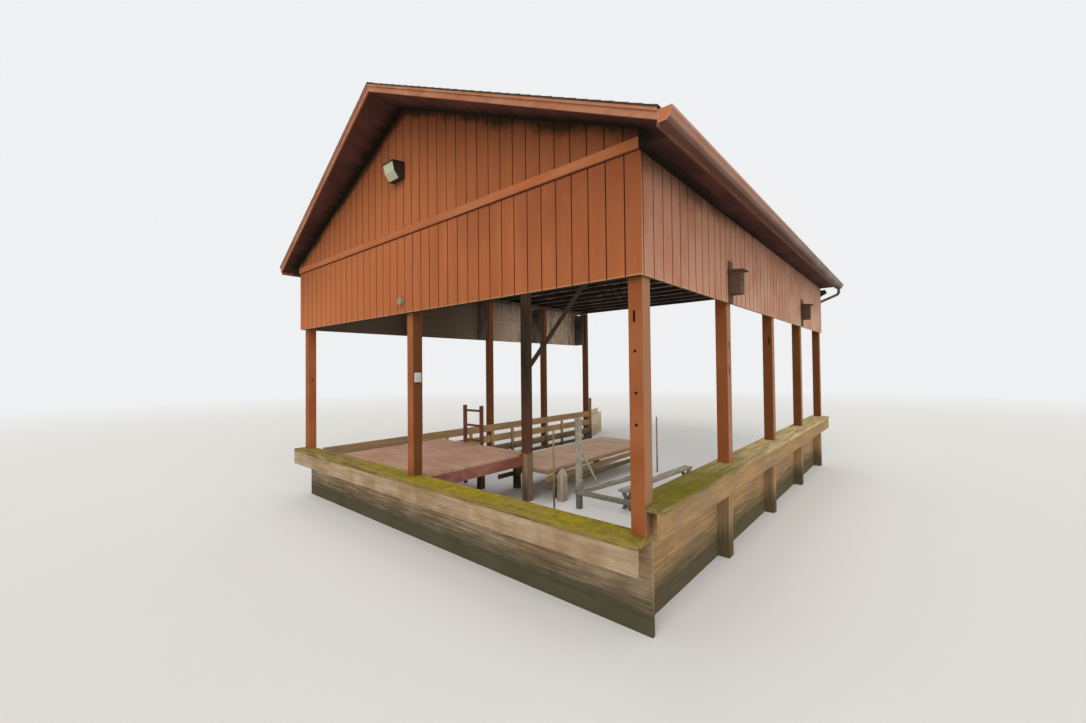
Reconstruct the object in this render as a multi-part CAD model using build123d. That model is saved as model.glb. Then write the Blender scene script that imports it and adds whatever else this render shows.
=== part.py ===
from build123d import *
import math
import os

# Open-sided timber boathouse standing over a plank-walled boat slip. Millimetres, Z up.
# Everything is first placed in the building's own frame: X = 0 under the ridge, Y = 0 on the
# outer face of the front siding, Z = 0 at the water, the lowest level that the building meets.
# At export each piece is shifted so that the origin is the bottom centre of the whole object.

# Plan of the building, over the siding
WIDTH = 7640.0
LENGTH = 9470.0

# Levels above the water
DOCK_TOP = 640.0
DECK_TOP = 900.0
SILL_TOP = 950.0
CAP_TOP = 1240.0
SIDING_BOTTOM = 3336.0
PLATE_TOP = 4475.0

# Timber sizes
POST = 152.0
THIN = 19.0
PLANK = 38.0
STUD = 89.0
JOIST = 140.0
RIM = 184.0
HEADER = 235.0
SIDING = 16.0

# Roof
RIDGE_RISE = 1834.0
HEEL = 35.0
EAVE_OVERHANG = 300.0
FRONT_OVERHANG = 260.0
BACK_OVERHANG = 400.0
PROW = 300.0
ROOF_SKIN = 24.0
SHINGLE_LIP = 15.0
SOFFIT = 9.5
RAKE_FACE = 89.0
DRIP_BOARD_HEIGHT = 100.0
DRIP_BOARD = 24.0
TRUSS_COUNT = 17
WEB = 64.0
WEB_FOOT = 1375.0
WEB_HEAD = 1910.0
RIDGE_WEB_FOOT = 1184.0
RUNNER_X = 2600.0

# Posts and wall framing
BAYS = 4
LEFT_SET_IN = 300.0
BRACKET_LAP = 96.0
FRONT_FRAME = 64.0
STUD_SPACING = 610.0
BRACE_FOOT = 2530.0
BEAM_PAST_BRACE = 150.0

# Plank walls round the slip
SILL_WIDTH = 330.0
SILL_THICK = 60.0
SILL_PAST_CORNER = 60.0
CAP_WIDTH = 390.0
CAP_THICK = 50.0
CAP_INSET = 70.0
WALL_BOARD = 184.0
WALL_GAP = 110.0
TIGHT_GAP = 3.0
LEFT_WALL_TOP = 980.0
UPRIGHTS_PER_BAY = 3
WING_POST_TOP = 1440.0
WING_TURN = 22.0
WING_LENGTH = 2100.0
WING_TOP_LENGTH = 1450.0
WING_BOARDS = 5

# Deck, finger dock and ladder
DECK_LEFT = -2800.0
DECK_DEPTH = 2440.0
DECK_JOISTS = 6
DOCK_LEFT = -890.0
DOCK_RIGHT = 445.0
DOCK_LENGTH = 3900.0
DOCK_JOISTS = 7
DOCK_RIM = 64.0
DOCK_PILE = 120.0
DOCK_PILE_INSET = 400.0
WALES = 2
WALE_TOP = 500.0
WALE_PITCH = 155.0
LADDER_X = -1700.0
LADDER_WIDTH = 578.0
LADDER_ABOVE = 820.0
RUNG_SPACING = 320.0
RUNG_COUNT = 5
RUNG_HEIGHT = 44.0

# Cradle that a hull rests on: a front beam, a bunk on edge and a flat bunk on crossed legs
CRADLE_X = 1030.0
CRADLE_Y = 2800.0
CRADLE_WIDTH = 1600.0
CRADLE_TOP = 350.0
CRADLE_UPRIGHT = 1610.0
BRACE_TOP = 1053.0
BRACE_RUN = 310.0
BRACE_SIZE = 30.0
BUNK_TOP = 380.0
EDGE_BUNK_X = 1150.0
EDGE_BUNK_LENGTH = 1800.0
EDGE_BUNK_TURN = 8.0
FLAT_BUNK_X = 1740.0
FLAT_BUNK_Y = 3140.0
FLAT_BUNK_LENGTH = 2540.0
FLAT_BUNK_TURN = 3.0
LEG_SPREAD = 260.0
LEG_INSET = 120.0

# Post that keeps hulls off the dock, and two poles that guide them in
FENDER = 140.0
FENDER_Y = 2940.0
FENDER_TOP = 625.0
FENDER_POINT = 135.0
FENDER_TIP = 10.0
POLE = 32.0
NEAR_POLE = (730.0, 2500.0, 1440.0)
FAR_POLE = (870.0, 6240.0, 1320.0)

# Gutter on the right eave, and its downspout
GUTTER_WIDTH = 127.0
GUTTER_HEIGHT = 105.0
GUTTER_BASE = 75.0
GUTTER_LIP = 25.0
GUTTER_WALL = 3.0
GUTTER_DROP = 10.0
GUTTER_PAST_END = 550.0
SPOUT = 64.0
SPOUT_NECK = 150.0
SPOUT_JOG = 250.0
SPOUT_BEND = 90.0
SPOUT_ABOVE_CAP = 100.0

# Fittings
LIGHT_X = -100.0
LIGHT_WIDTH = 280.0
LIGHT_DEPTH = 210.0
LIGHT_HEIGHT = 330.0
LIGHT_ABOVE_PLATE = 800.0
LIGHT_BEVEL = 60.0
HOLDER_X = -60.0
HOLDER = 100.0
HOLDER_LENGTH = 60.0
HOLDER_ABOVE_EDGE = 170.0
OUTLET_LOW = 2320.0
OUTLET = (50.0, 90.0, 140.0)
FLOOD_BELOW_PLATE = 119.0
FLOOD_PLATE = 120.0
FLOOD_ARM = 80.0
FLOOD_HEAD = 110.0
FLOOD_HEAD_LENGTH = 160.0
FLOOD_TILT = 60.0
NEST_BOARD = (140.0, 550.0)
NEST_BODY = (140.0, 160.0, 290.0)
NEST_LID_PAST = 50.0
NEST_LID_EDGE = 15.0
NEST_LID_RISE = 40.0
NEST_AT = ((2420.0, 3330.0, 3440.0), (7050.0, 3350.0, 3480.0))

HALF = WIDTH / 2
EAVE_X = HALF + EAVE_OVERHANG
TAIL_X = EAVE_X - THIN
SLOPE = RIDGE_RISE / EAVE_X
COS = math.cos(math.atan(SLOPE))
EAVE_UNDER = PLATE_TOP + HEEL
TRUSS_PITCH = (LENGTH - PLANK) / (TRUSS_COUNT - 1)
POST_OUT = HALF - SIDING - THIN
POST_IN = POST_OUT - POST
POST_FRONT = SIDING + FRONT_FRAME
POST_BACK = POST_FRONT + POST
POST_BAY = (LENGTH - POST_BACK) / BAYS
LEFT_OUT = POST_OUT - LEFT_SET_IN
LEFT_IN = LEFT_OUT - POST
LEFT_FACE = PLANK - LEFT_IN
CAP_IN = POST_IN - CAP_INSET
CAP_OUT = CAP_IN + CAP_WIDTH
BEAM_LOW = PLATE_TOP - JOIST
DECK_BACK = POST_BACK + DECK_DEPTH
INNER_POST_Y = DECK_BACK - POST
TALL = PLATE_TOP + 2 * RIDGE_RISE
FAR = 2 * LENGTH


def block(x0, x1, y0, y1, z0, z1):
    centre = Pos((x0 + x1) / 2, (y0 + y1) / 2, (z0 + z1) / 2)
    return centre * Box(abs(x1 - x0), abs(y1 - y0), abs(z1 - z0))


def prism_x(outline, x0, x1):
    """A closed outline of (y, z) points, drawn out from x0 to x1."""
    return extrude(Plane.YZ.offset(x0) * make_face(Polyline(*outline, close=True)), amount=x1 - x0)


def prism_y(outline, y0, y1):
    """A closed outline of (x, z) points, drawn out from y0 to y1."""
    return extrude(Plane.XZ.offset(-y0) * make_face(Polyline(*outline, close=True)), amount=y0 - y1)


def prism_z(outline, z0, z1):
    """A closed plan outline of (x, y) points, drawn up from z0 to z1."""
    return extrude(Plane.XY.offset(z0) * make_face(Polyline(*outline, close=True)), amount=z1 - z0)


def bar(start, end, depth, y0, y1):
    """A straight timber between two (x, z) points of an upright plane."""
    dx = end[0] - start[0]
    dz = end[1] - start[1]
    length = math.hypot(dx, dz)
    nx = -dz / length * depth / 2
    nz = dx / length * depth / 2
    outline = [(start[0] + nx, start[1] + nz), (end[0] + nx, end[1] + nz),
               (end[0] - nx, end[1] - nz), (start[0] - nx, start[1] - nz)]
    return prism_y(outline, y0, y1)


def under(x):
    """Height of the underside of the sloped soffit at a distance x from the ridge line."""
    return EAVE_UNDER + (EAVE_X - abs(x)) * SLOPE


def over(x, depth):
    """Height of a layer that lies a depth above that underside, measured square to the slope."""
    return under(x) + depth / COS


def band(side, x_out, low, high, y0, y1):
    """A sloped layer of one roof half, from the ridge line out to x_out."""
    x = side * x_out
    outline = [(0, over(0, low)), (x, over(x, low)), (x, over(x, high)), (0, over(0, high))]
    return prism_y(outline, y0, y1)


def post_y(index):
    return POST_FRONT + index * POST_BAY


def side_post(x_out, x_in, index, foot, head):
    y0 = post_y(index)
    return block(x_out, x_in, y0, y0 + POST, foot, head)


def posts():
    """The front posts stand on the sill. Behind them the right ones stand on the cap, and the
    left ones, set in behind their plank wall, run down to the water."""
    rows = range(1, BAYS + 1)
    head = PLATE_TOP - 2 * PLANK
    left = [side_post(-POST_OUT, -POST_IN, 0, SILL_TOP, PLATE_TOP)]
    left += [side_post(-LEFT_OUT, -LEFT_IN, index, 0, head) for index in rows]
    right = [side_post(POST_OUT, POST_IN, 0, SILL_TOP, head)]
    right += [side_post(POST_OUT, POST_IN, index, CAP_TOP, head) for index in rows]
    made = {"left_posts": left, "right_posts": right}
    half = POST / 2
    made["front_middle_post"] = [block(-half, half, POST_FRONT, POST_BACK, SILL_TOP, PLATE_TOP)]
    y0 = INNER_POST_Y
    made["inner_post"] = [block(-half, half, y0, y0 + POST, 0, BEAM_LOW)]
    made["inner_sister_board"] = [block(0, half, y0 - PLANK, y0, 0, DECK_TOP)]
    return made


def post_plates():
    """Two planks laid flat along the tops of the side posts."""
    z0 = PLATE_TOP - 2 * PLANK
    return [block(x_out, x_in, POST_FRONT, LENGTH, z0, PLATE_TOP)
            for x_out, x_in in ((-LEFT_OUT, -LEFT_IN), (POST_OUT, POST_IN))]


def left_post_brackets():
    """A plank across each left post, out to the boards that the siding is nailed to."""
    pieces = []
    for index in range(1, BAYS + 1):
        y1 = post_y(index)
        x1 = BRACKET_LAP - LEFT_OUT
        pieces.append(block(-POST_OUT, x1, y1 - PLANK, y1, SIDING_BOTTOM, PLATE_TOP - 2 * PLANK))
    return pieces


def brace_run():
    return BEAM_LOW - BRACE_FOOT


def centre_beam():
    y_end = INNER_POST_Y + POST + brace_run() + BEAM_PAST_BRACE
    return [block(-PLANK / 2, PLANK / 2, POST_BACK, y_end, BEAM_LOW, PLATE_TOP)]


def knee_brace():
    """A 45 degree timber from the back of the inner post up to the centre beam."""
    y0 = INNER_POST_Y + POST
    reach = STUD / 2 * math.sqrt(2)
    y_top = y0 + brace_run()
    outline = [(y0, BRACE_FOOT - reach), (y_top + reach, BEAM_LOW), (y_top - reach, BEAM_LOW),
               (y0, BRACE_FOOT + reach)]
    return [prism_x(outline, -PLANK / 2, PLANK / 2)]


def front_wall_frame():
    """Studs between a doubled bottom and top plank, behind the front siding."""
    foot = SIDING_BOTTOM + 2 * PLANK
    head = PLATE_TOP - 2 * PLANK
    plates = [block(-POST_OUT, POST_OUT, SIDING, POST_FRONT, SIDING_BOTTOM, foot),
              block(-POST_OUT, POST_OUT, SIDING, POST_FRONT, head, PLATE_TOP)]
    count = round(2 * POST_OUT / STUD_SPACING)
    step = (2 * POST_OUT - PLANK) / count
    studs = []
    for index in range(count + 1):
        x0 = -POST_OUT + index * step
        studs.append(block(x0, x0 + PLANK, SIDING, POST_FRONT, foot, head))
    return {"front_wall_plates": plates, "front_wall_frame": studs}


def side_girts():
    """Three boards along each side at the line of the outer posts, which the siding is nailed to."""
    middle = (SIDING_BOTTOM + PLATE_TOP) / 2
    heights = [(SIDING_BOTTOM, SIDING_BOTTOM + HEADER), (middle - JOIST / 2, middle + JOIST / 2),
               (PLATE_TOP - HEADER, PLATE_TOP)]
    pieces = []
    for side in (-1, 1):
        for z0, z1 in heights:
            pieces.append(block(side * POST_OUT, side * (POST_OUT + THIN), SIDING, LENGTH, z0, z1))
    return pieces


def side_siding(side):
    return [block(side * (HALF - SIDING), side * HALF, SIDING, LENGTH, SIDING_BOTTOM, PLATE_TOP)]


def front_siding():
    return [block(-HALF, HALF, 0, SIDING, SIDING_BOTTOM, PLATE_TOP)]


def gable_siding(y0, y1):
    foot = PLATE_TOP + DRIP_BOARD_HEIGHT
    outline = [(-HALF, foot), (HALF, foot), (HALF, under(HALF)), (0, under(0)), (-HALF, under(HALF))]
    return [prism_y(outline, y0, y1)]


def drip_board(y0, y1):
    return [block(-HALF, HALF, y0, y1, PLATE_TOP, PLATE_TOP + DRIP_BOARD_HEIGHT)]


def truss_rows(piece):
    """The same timber in every truss, at an even pitch along the building."""
    return [Pos(0, index * TRUSS_PITCH, 0) * piece for index in range(TRUSS_COUNT)]


def bottom_chord():
    chord_top = PLATE_TOP + STUD
    x_meet = EAVE_X - (chord_top - EAVE_UNDER) / SLOPE
    outline = [(-TAIL_X, PLATE_TOP), (TAIL_X, PLATE_TOP), (TAIL_X, under(TAIL_X)), (x_meet, chord_top),
               (-x_meet, chord_top), (-TAIL_X, under(TAIL_X))]
    return prism_y(outline, 0, PLANK)


def attic_outline(side):
    """One half of the space inside a truss, which the webs are cut to."""
    chord_top = PLATE_TOP + STUD
    x_meet = EAVE_X - (chord_top - EAVE_UNDER) / SLOPE
    clear = side * TIGHT_GAP
    outline = [(clear, chord_top), (side * x_meet, chord_top), (clear, under(clear))]
    return prism_y(outline, 0, PLANK)


def web(side, x_foot, x_top):
    foot = (side * x_foot, PLATE_TOP)
    top = (side * x_top, over(x_top, RAKE_FACE))
    return bar(foot, top, WEB, 0, PLANK) & attic_outline(side)


def roof_trusses():
    made = {"truss_bottom_chords": truss_rows(bottom_chord())}
    for side, name in ((-1, "left"), (1, "right")):
        made[f"{name}_top_chords"] = truss_rows(band(side, TAIL_X, 0, RAKE_FACE, 0, PLANK))
    webs = []
    for side in (-1, 1):
        webs += truss_rows(web(side, WEB_FOOT, WEB_HEAD))
        webs += truss_rows(web(side, RIDGE_WEB_FOOT, 0))
    made["truss_webs"] = webs
    return made


def ceiling_runners():
    """Long planks laid flat on the bottom chords, which keep the trusses upright."""
    z0 = PLATE_TOP + STUD
    half = STUD / 2
    return [block(x - half, x + half, 0, LENGTH, z0, z0 + PLANK) for x in (-RUNNER_X, 0, RUNNER_X)]


def prow_plan(side):
    """Plan of one shingled half: both gable edges run out by PROW towards the ridge."""
    x_out = side * (EAVE_X + SHINGLE_LIP)
    y_front = -FRONT_OVERHANG - SHINGLE_LIP
    y_back = LENGTH + BACK_OVERHANG + SHINGLE_LIP
    outline = [(0, y_front - PROW), (x_out, y_front), (x_out, y_back), (0, y_back + PROW)]
    return prism_z(outline, 0, TALL)


def roof_slope(side):
    """Sheathing and shingles of one half, as one sheet."""
    sheet = band(side, EAVE_X + SHINGLE_LIP, RAKE_FACE, RAKE_FACE + ROOF_SKIN, -FAR, FAR)
    return [sheet & prow_plan(side)]


def rake_boards(side):
    """The two sloped edge boards of one roof half, on the front and on the back gable."""
    pieces = []
    board = band(side, EAVE_X, 0, RAKE_FACE, -FAR, FAR)
    for y_eave, out in ((-FRONT_OVERHANG, -1), (LENGTH + BACK_OVERHANG, 1)):
        y_ridge = y_eave + out * PROW
        strip = [(0, y_ridge), (side * EAVE_X, y_eave), (side * EAVE_X, y_eave - out * THIN),
                 (0, y_ridge - out * THIN)]
        pieces.append(board & prism_z(strip, 0, TALL))
    return pieces


def rake_soffits(side):
    """The sloped boarding under the gable overhangs of one roof half."""
    pieces = []
    sheet = band(side, TAIL_X, 0, SOFFIT, -FAR, FAR)
    for y_wall, y_eave, out in ((-DRIP_BOARD, -FRONT_OVERHANG, -1),
                                (LENGTH + DRIP_BOARD, LENGTH + BACK_OVERHANG, 1)):
        y0 = y_eave - out * THIN
        plan = [(0, y_wall), (side * TAIL_X, y_wall), (side * TAIL_X, y0), (0, y0 + out * PROW)]
        pieces.append(sheet & prism_z(plan, 0, TALL))
    return pieces


def side_soffits():
    z0 = PLATE_TOP - SOFFIT
    return [block(side * HALF, side * TAIL_X, 0, LENGTH, z0, PLATE_TOP) for side in (-1, 1)]


def eave_fascias():
    y0 = -FRONT_OVERHANG + THIN
    y1 = LENGTH + BACK_OVERHANG - THIN
    z0 = PLATE_TOP - SOFFIT
    z1 = over(EAVE_X, RAKE_FACE)
    return [block(side * TAIL_X, side * EAVE_X, y0, y1, z0, z1) for side in (-1, 1)]


def gutter_top():
    return under(EAVE_X) + RAKE_FACE - GUTTER_DROP


def gutter_section():
    """Outside of the trough as (x, z): a flat back and bottom, and an ogee front under a straight lip."""
    top = gutter_top()
    low = top - GUTTER_HEIGHT
    front = EAVE_X + GUTTER_WIDTH
    heel = (EAVE_X + GUTTER_BASE, low)
    shoulder = (front, top - GUTTER_LIP)
    waist = ((heel[0] + shoulder[0]) / 2, (heel[1] + shoulder[1]) / 2)
    bend = GUTTER_WIDTH / 2
    outline = Polyline((EAVE_X, top), (EAVE_X, low), heel)
    outline += RadiusArc(heel, waist, -bend)
    outline += RadiusArc(waist, shoulder, bend)
    outline += Polyline(shoulder, (front, top), (EAVE_X, top))
    return make_face(outline)


def right_gutter():
    y0 = -FRONT_OVERHANG
    y1 = LENGTH + GUTTER_PAST_END
    section = gutter_section()
    space = offset(section, amount=-GUTTER_WALL)
    space += Pos(0, 2 * GUTTER_WALL) * space
    outer = extrude(Plane.XZ.offset(-y0) * section, amount=y0 - y1)
    inner = extrude(Plane.XZ.offset(-y0 - GUTTER_WALL) * space, amount=y0 - y1 + 2 * GUTTER_WALL)
    return [outer - inner]


def downspout():
    """From the gutter's outlet back to the last post, then down its rear face."""
    top = gutter_top() - GUTTER_HEIGHT
    x0 = EAVE_X + GUTTER_BASE / 2
    y0 = LENGTH + BACK_OVERHANG
    x1 = POST_OUT - POST / 2
    y1 = LENGTH + SPOUT / 2
    bend = top - SPOUT_NECK
    route = [(x0, y0, top), (x0, y0, bend), (x1, y1, bend - SPOUT_JOG), (x1, y1, CAP_TOP + SPOUT_ABOVE_CAP)]
    path = FilletPolyline(*route, radius=SPOUT_BEND)
    section = Plane(origin=route[0], z_dir=(0, 0, -1)) * Circle(SPOUT / 2)
    return [sweep(section, path=path)]


def board_stack(x0, x1, y0, y1, top):
    """Planks on edge, one above the other, from the water up to a level."""
    count = round(top / WALL_BOARD)
    step = top / count
    return [block(x0, x1, y0, y1, index * step, (index + 1) * step - TIGHT_GAP) for index in range(count)]


def front_edge():
    y0 = POST_BACK - SILL_WIDTH
    x_end = HALF + SILL_PAST_CORNER
    under_sill = SILL_TOP - SILL_THICK
    sill = block(-x_end, POST_OUT, y0, POST_BACK, under_sill, SILL_TOP)
    boards = board_stack(-POST_OUT, POST_OUT, POST_BACK - PLANK, POST_BACK, under_sill + TIGHT_GAP)
    boards.append(block(-x_end, POST_OUT, y0, y0 + PLANK, under_sill - HEADER, under_sill))
    return {"front_sill": [sill], "front_bulkhead": boards}


def right_edge():
    low = CAP_TOP - CAP_THICK
    cap = [block(POST_OUT, CAP_OUT, POST_FRONT, POST_BACK - TIGHT_GAP, low, CAP_TOP),
           block(CAP_IN, CAP_OUT, POST_BACK, LENGTH, low, CAP_TOP)]
    x0 = CAP_IN + THIN
    x1 = x0 + PLANK
    boards = board_stack(x0, x1, POST_BACK, LENGTH, low + TIGHT_GAP)
    boards.append(block(CAP_OUT - THIN - PLANK, CAP_OUT - THIN, POST_FRONT, LENGTH, low - HEADER, low))
    piles = []
    for index in range(1, BAYS + 1):
        y0 = post_y(index)
        piles.append(block(x1, x1 + POST, y0, y0 + POST, 0, low))
    return {"right_cap": cap, "right_bulkhead": boards, "right_bulkhead_piles": piles}


def left_edge():
    """Spaced boards on the inside of the left posts, with uprights, and a wing at the lake end."""
    boards = []
    z1 = LEFT_WALL_TOP
    while z1 > 0:
        z0 = max(z1 - WALL_BOARD, 0)
        boards.append(block(-LEFT_IN, LEFT_FACE, POST_BACK, LENGTH, z0, z1))
        z1 = z0 - WALL_GAP
    uprights = [block(-LEFT_IN, STUD - LEFT_IN, LENGTH, LENGTH + PLANK, 0, WING_POST_TOP)]
    step = POST_BAY / UPRIGHTS_PER_BAY
    for index in range(1, (BAYS - 1) * UPRIGHTS_PER_BAY):
        y0 = post_y(1) + index * step
        uprights.append(block(LEFT_FACE, LEFT_FACE + PLANK, y0, y0 + STUD, 0, LEFT_WALL_TOP - WALL_BOARD))
    return {"left_bulkhead": boards, "left_bulkhead_uprights": uprights, "left_wing_wall": wing_boards()}


def wing_boards():
    """Tight boards that turn away from the slip behind the corner upright. The top one is shorter."""
    step = LEFT_WALL_TOP / WING_BOARDS
    behind = block(-FAR, FAR, LENGTH + PLANK, FAR, 0, TALL)
    pieces = []
    for index in range(WING_BOARDS):
        reach = WING_TOP_LENGTH if index == WING_BOARDS - 1 else WING_LENGTH
        board = block(-PLANK, 0, 0, reach, index * step, (index + 1) * step - TIGHT_GAP)
        pieces.append((Pos(LEFT_FACE, LENGTH, 0) * Rot(0, 0, WING_TURN) * board) & behind)
    return pieces


def deck():
    half = POST / 2
    top = DECK_TOP - PLANK
    low = top - RIM
    slab = block(DECK_LEFT, 0, POST_BACK, DECK_BACK, top, DECK_TOP)
    slab -= block(-half, half, INNER_POST_Y, DECK_BACK, 0, TALL)
    ledgers = [block(DECK_LEFT, 0, POST_BACK, POST_BACK + PLANK, low, top),
               block(DECK_LEFT, -half, DECK_BACK - PLANK, DECK_BACK, low, top)]
    joists = [block(-PLANK, 0, POST_BACK + PLANK, INNER_POST_Y, low, top)]
    step = (-DECK_LEFT - PLANK) / DECK_JOISTS
    for index in range(DECK_JOISTS):
        x0 = DECK_LEFT + index * step
        joists.append(block(x0, x0 + PLANK, POST_BACK + PLANK, DECK_BACK - PLANK, low, top))
    piles = []
    for x0 in (DECK_LEFT, DECK_LEFT / 2):
        piles.append(block(x0, x0 + DOCK_PILE, DECK_BACK - DOCK_PILE, DECK_BACK, 0, low))
    return {"deck_boards": [slab], "deck_ledgers": ledgers, "deck_joists": joists, "deck_piles": piles}


def dock():
    y0 = INNER_POST_Y + POST
    y1 = y0 + DOCK_LENGTH
    slab = block(DOCK_LEFT, DOCK_RIGHT, y0, y1, DOCK_TOP - PLANK, DOCK_TOP)
    top = DOCK_TOP - PLANK
    low = top - DOCK_RIM
    stringers = []
    for x in (DOCK_LEFT, DOCK_RIGHT - PLANK):
        stringers.append(block(x, x + PLANK, y0, y1, low, top))
        for index in range(WALES):
            z1 = WALE_TOP - index * WALE_PITCH
            stringers.append(block(x, x + PLANK, y0, y1, z1 - STUD, z1))
    joists = []
    step = (DOCK_LENGTH - PLANK) / (DOCK_JOISTS - 1)
    for index in range(DOCK_JOISTS):
        y = y0 + index * step
        joists.append(block(DOCK_LEFT + PLANK, DOCK_RIGHT - PLANK, y, y + PLANK, low, top))
    piles = []
    for x in (DOCK_LEFT + PLANK, DOCK_RIGHT - PLANK - DOCK_PILE):
        for y in (y0 + DOCK_PILE_INSET, y1 - DOCK_PILE_INSET - DOCK_PILE):
            piles.append(block(x, x + DOCK_PILE, y, y + DOCK_PILE, 0, low))
    made = {"dock_boards": [slab], "dock_stringers": stringers}
    made.update({"dock_joists": joists, "dock_piles": piles})
    return made


def ladder():
    """Two stiles on the back edge of the deck with rungs down to the water."""
    y0 = DECK_BACK
    x0 = LADDER_X - LADDER_WIDTH / 2
    x1 = LADDER_X + LADDER_WIDTH / 2
    top = DECK_TOP + LADDER_ABOVE
    frame = block(x0, x0 + PLANK, y0, y0 + STUD, 0, top)
    frame += block(x1 - PLANK, x1, y0, y0 + STUD, 0, top)
    for index in range(RUNG_COUNT):
        z = top - STUD - index * RUNG_SPACING
        frame += block(x0, x1, y0 + THIN, y0 + THIN + PLANK, z - RUNG_HEIGHT, z)
    return [frame]


def drift(run, turn):
    """How far a timber turned in plan strays to the right over a run along the building."""
    return run * math.tan(math.radians(turn))


def cradle():
    x1 = CRADLE_X + CRADLE_WIDTH
    half = STUD / 2
    beam_back = CRADLE_Y
    edge_low = BUNK_TOP - STUD
    y0 = beam_back + EDGE_BUNK_LENGTH - 2 * STUD
    x0 = EDGE_BUNK_X + drift(y0 + half - beam_back, EDGE_BUNK_TURN) - half
    uprights = [block(CRADLE_X - half, CRADLE_X + half, beam_back, beam_back + STUD, 0, CRADLE_UPRIGHT),
                block(x1 - STUD, x1, beam_back, beam_back + STUD, 0, CRADLE_TOP),
                block(x0, x0 + STUD, y0, y0 + STUD, 0, edge_low)]
    for y0 in (FLAT_BUNK_Y + LEG_INSET, FLAT_BUNK_Y + FLAT_BUNK_LENGTH - LEG_INSET - 2 * PLANK):
        uprights += crossed_legs(y0)
    beam = block(CRADLE_X - half, x1, beam_back - PLANK, beam_back, CRADLE_TOP - STUD, CRADLE_TOP)
    edge = block(-PLANK / 2, PLANK / 2, 0, EDGE_BUNK_LENGTH, edge_low, BUNK_TOP)
    edge = Pos(EDGE_BUNK_X, beam_back, 0) * Rot(0, 0, -EDGE_BUNK_TURN) * edge
    flat = block(-RIM / 2, RIM / 2, 0, FLAT_BUNK_LENGTH, BUNK_TOP - PLANK, BUNK_TOP)
    flat = Pos(FLAT_BUNK_X, FLAT_BUNK_Y, 0) * Rot(0, 0, -FLAT_BUNK_TURN) * flat
    bunks = [edge & block(-FAR, FAR, beam_back, FAR, 0, TALL), flat]
    made = {"cradle_uprights": uprights, "cradle_cross_beams": [beam, cradle_stay()]}
    made["cradle_bunks"] = bunks
    return made


def crossed_legs(y0):
    """Two timbers that cross side by side under the flat bunk, cut level with its underside."""
    x = FLAT_BUNK_X + drift(y0 + PLANK - FLAT_BUNK_Y, FLAT_BUNK_TURN)
    top = BUNK_TOP - PLANK
    room = block(-FAR, FAR, -FAR, FAR, 0, top)
    legs = []
    for side, y1 in ((-1, y0), (1, y0 + PLANK + TIGHT_GAP)):
        foot = (x - side * LEG_SPREAD / 2, -STUD)
        head = (x + side * LEG_SPREAD / 2, top + STUD)
        legs.append(bar(foot, head, WEB, y1, y1 + PLANK) & room)
    return legs


def cradle_stay():
    """A thin timber from the back of the tall upright down to the top of the bunk on edge."""
    y0 = CRADLE_Y + STUD
    fall = (BRACE_TOP - BUNK_TOP) / BRACE_RUN
    x_foot = EDGE_BUNK_X + drift(STUD + BRACE_RUN, EDGE_BUNK_TURN)
    lean = (x_foot - CRADLE_X) / BRACE_RUN
    start = Vector(CRADLE_X - lean * STUD, y0 - STUD, BRACE_TOP + fall * STUD)
    end = Vector(x_foot + lean * STUD, y0 + BRACE_RUN + STUD, BUNK_TOP - fall * STUD)
    run = end - start
    stay = extrude(Plane(origin=start, z_dir=run) * Rectangle(BRACE_SIZE, BRACE_SIZE), amount=run.length)
    return stay & block(-FAR, FAR, y0, FAR, BUNK_TOP, TALL)


def fender_board():
    """A square timber with a pointed head that stands in the water against the dock's side."""
    y1 = FENDER_Y + FENDER
    shoulder = FENDER_TOP - FENDER_POINT
    post = block(DOCK_RIGHT, DOCK_RIGHT + FENDER, FENDER_Y, y1, 0, shoulder)
    foot = Pos(DOCK_RIGHT + FENDER / 2, FENDER_Y + FENDER / 2, shoulder) * Rectangle(FENDER, FENDER)
    lean = math.atan((FENDER - FENDER_TIP) / 2 / FENDER_POINT)
    head = extrude(foot, amount=FENDER_POINT, taper=math.degrees(lean))
    return [post + head]


def guide_poles():
    poles = []
    for x, y, height in (NEAR_POLE, FAR_POLE):
        poles.append(Pos(x, y, height / 2) * Cylinder(POLE / 2, height))
    return poles


def wall_light():
    """A lamp housing on the gable with a bevelled front."""
    z0 = PLATE_TOP + LIGHT_ABOVE_PLATE
    half = LIGHT_WIDTH / 2
    y0 = -SIDING - LIGHT_DEPTH
    light = block(LIGHT_X - half, LIGHT_X + half, y0, -SIDING, z0, z0 + LIGHT_HEIGHT)
    return [chamfer(light.edges().filter_by(Axis.X).group_by(Axis.Y)[0], LIGHT_BEVEL)]


def corner_flood_light():
    """A plate on the rear corner, a short arm and a round lamp head that tilts down."""
    half = FLOOD_PLATE / 2
    y0 = LENGTH + PLANK
    z = PLATE_TOP - FLOOD_BELOW_PLATE
    arm = half / 4
    lamp = block(HALF - half, HALF + half, LENGTH, y0, z - half, z + half)
    lamp += block(HALF - arm, HALF + arm, y0, y0 + FLOOD_ARM, z - arm, z + arm)
    head = Cylinder(FLOOD_HEAD / 2, FLOOD_HEAD_LENGTH)
    lamp += Pos(HALF + half / 2, y0 + FLOOD_ARM, z) * Rot(0, FLOOD_TILT, 0) * head
    return [lamp]


def fittings():
    made = {"wall_light": wall_light(), "corner_flood_light": corner_flood_light()}
    holder = Pos(HOLDER_X, -HOLDER_LENGTH / 2, SIDING_BOTTOM + HOLDER_ABOVE_EDGE) * Rot(90, 0, 0)
    made["lamp_holder"] = [holder * Cylinder(HOLDER / 2, HOLDER_LENGTH)]
    x0 = POST / 2
    y0 = POST_FRONT + THIN
    out, along, up = OUTLET
    made["outlet_box"] = [block(x0, x0 + out, y0, y0 + along, OUTLET_LOW, OUTLET_LOW + up)]
    made["nest_boxes"] = [nest_box(y, board_low, box_low) for y, board_low, box_low in NEST_AT]
    return made


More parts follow.
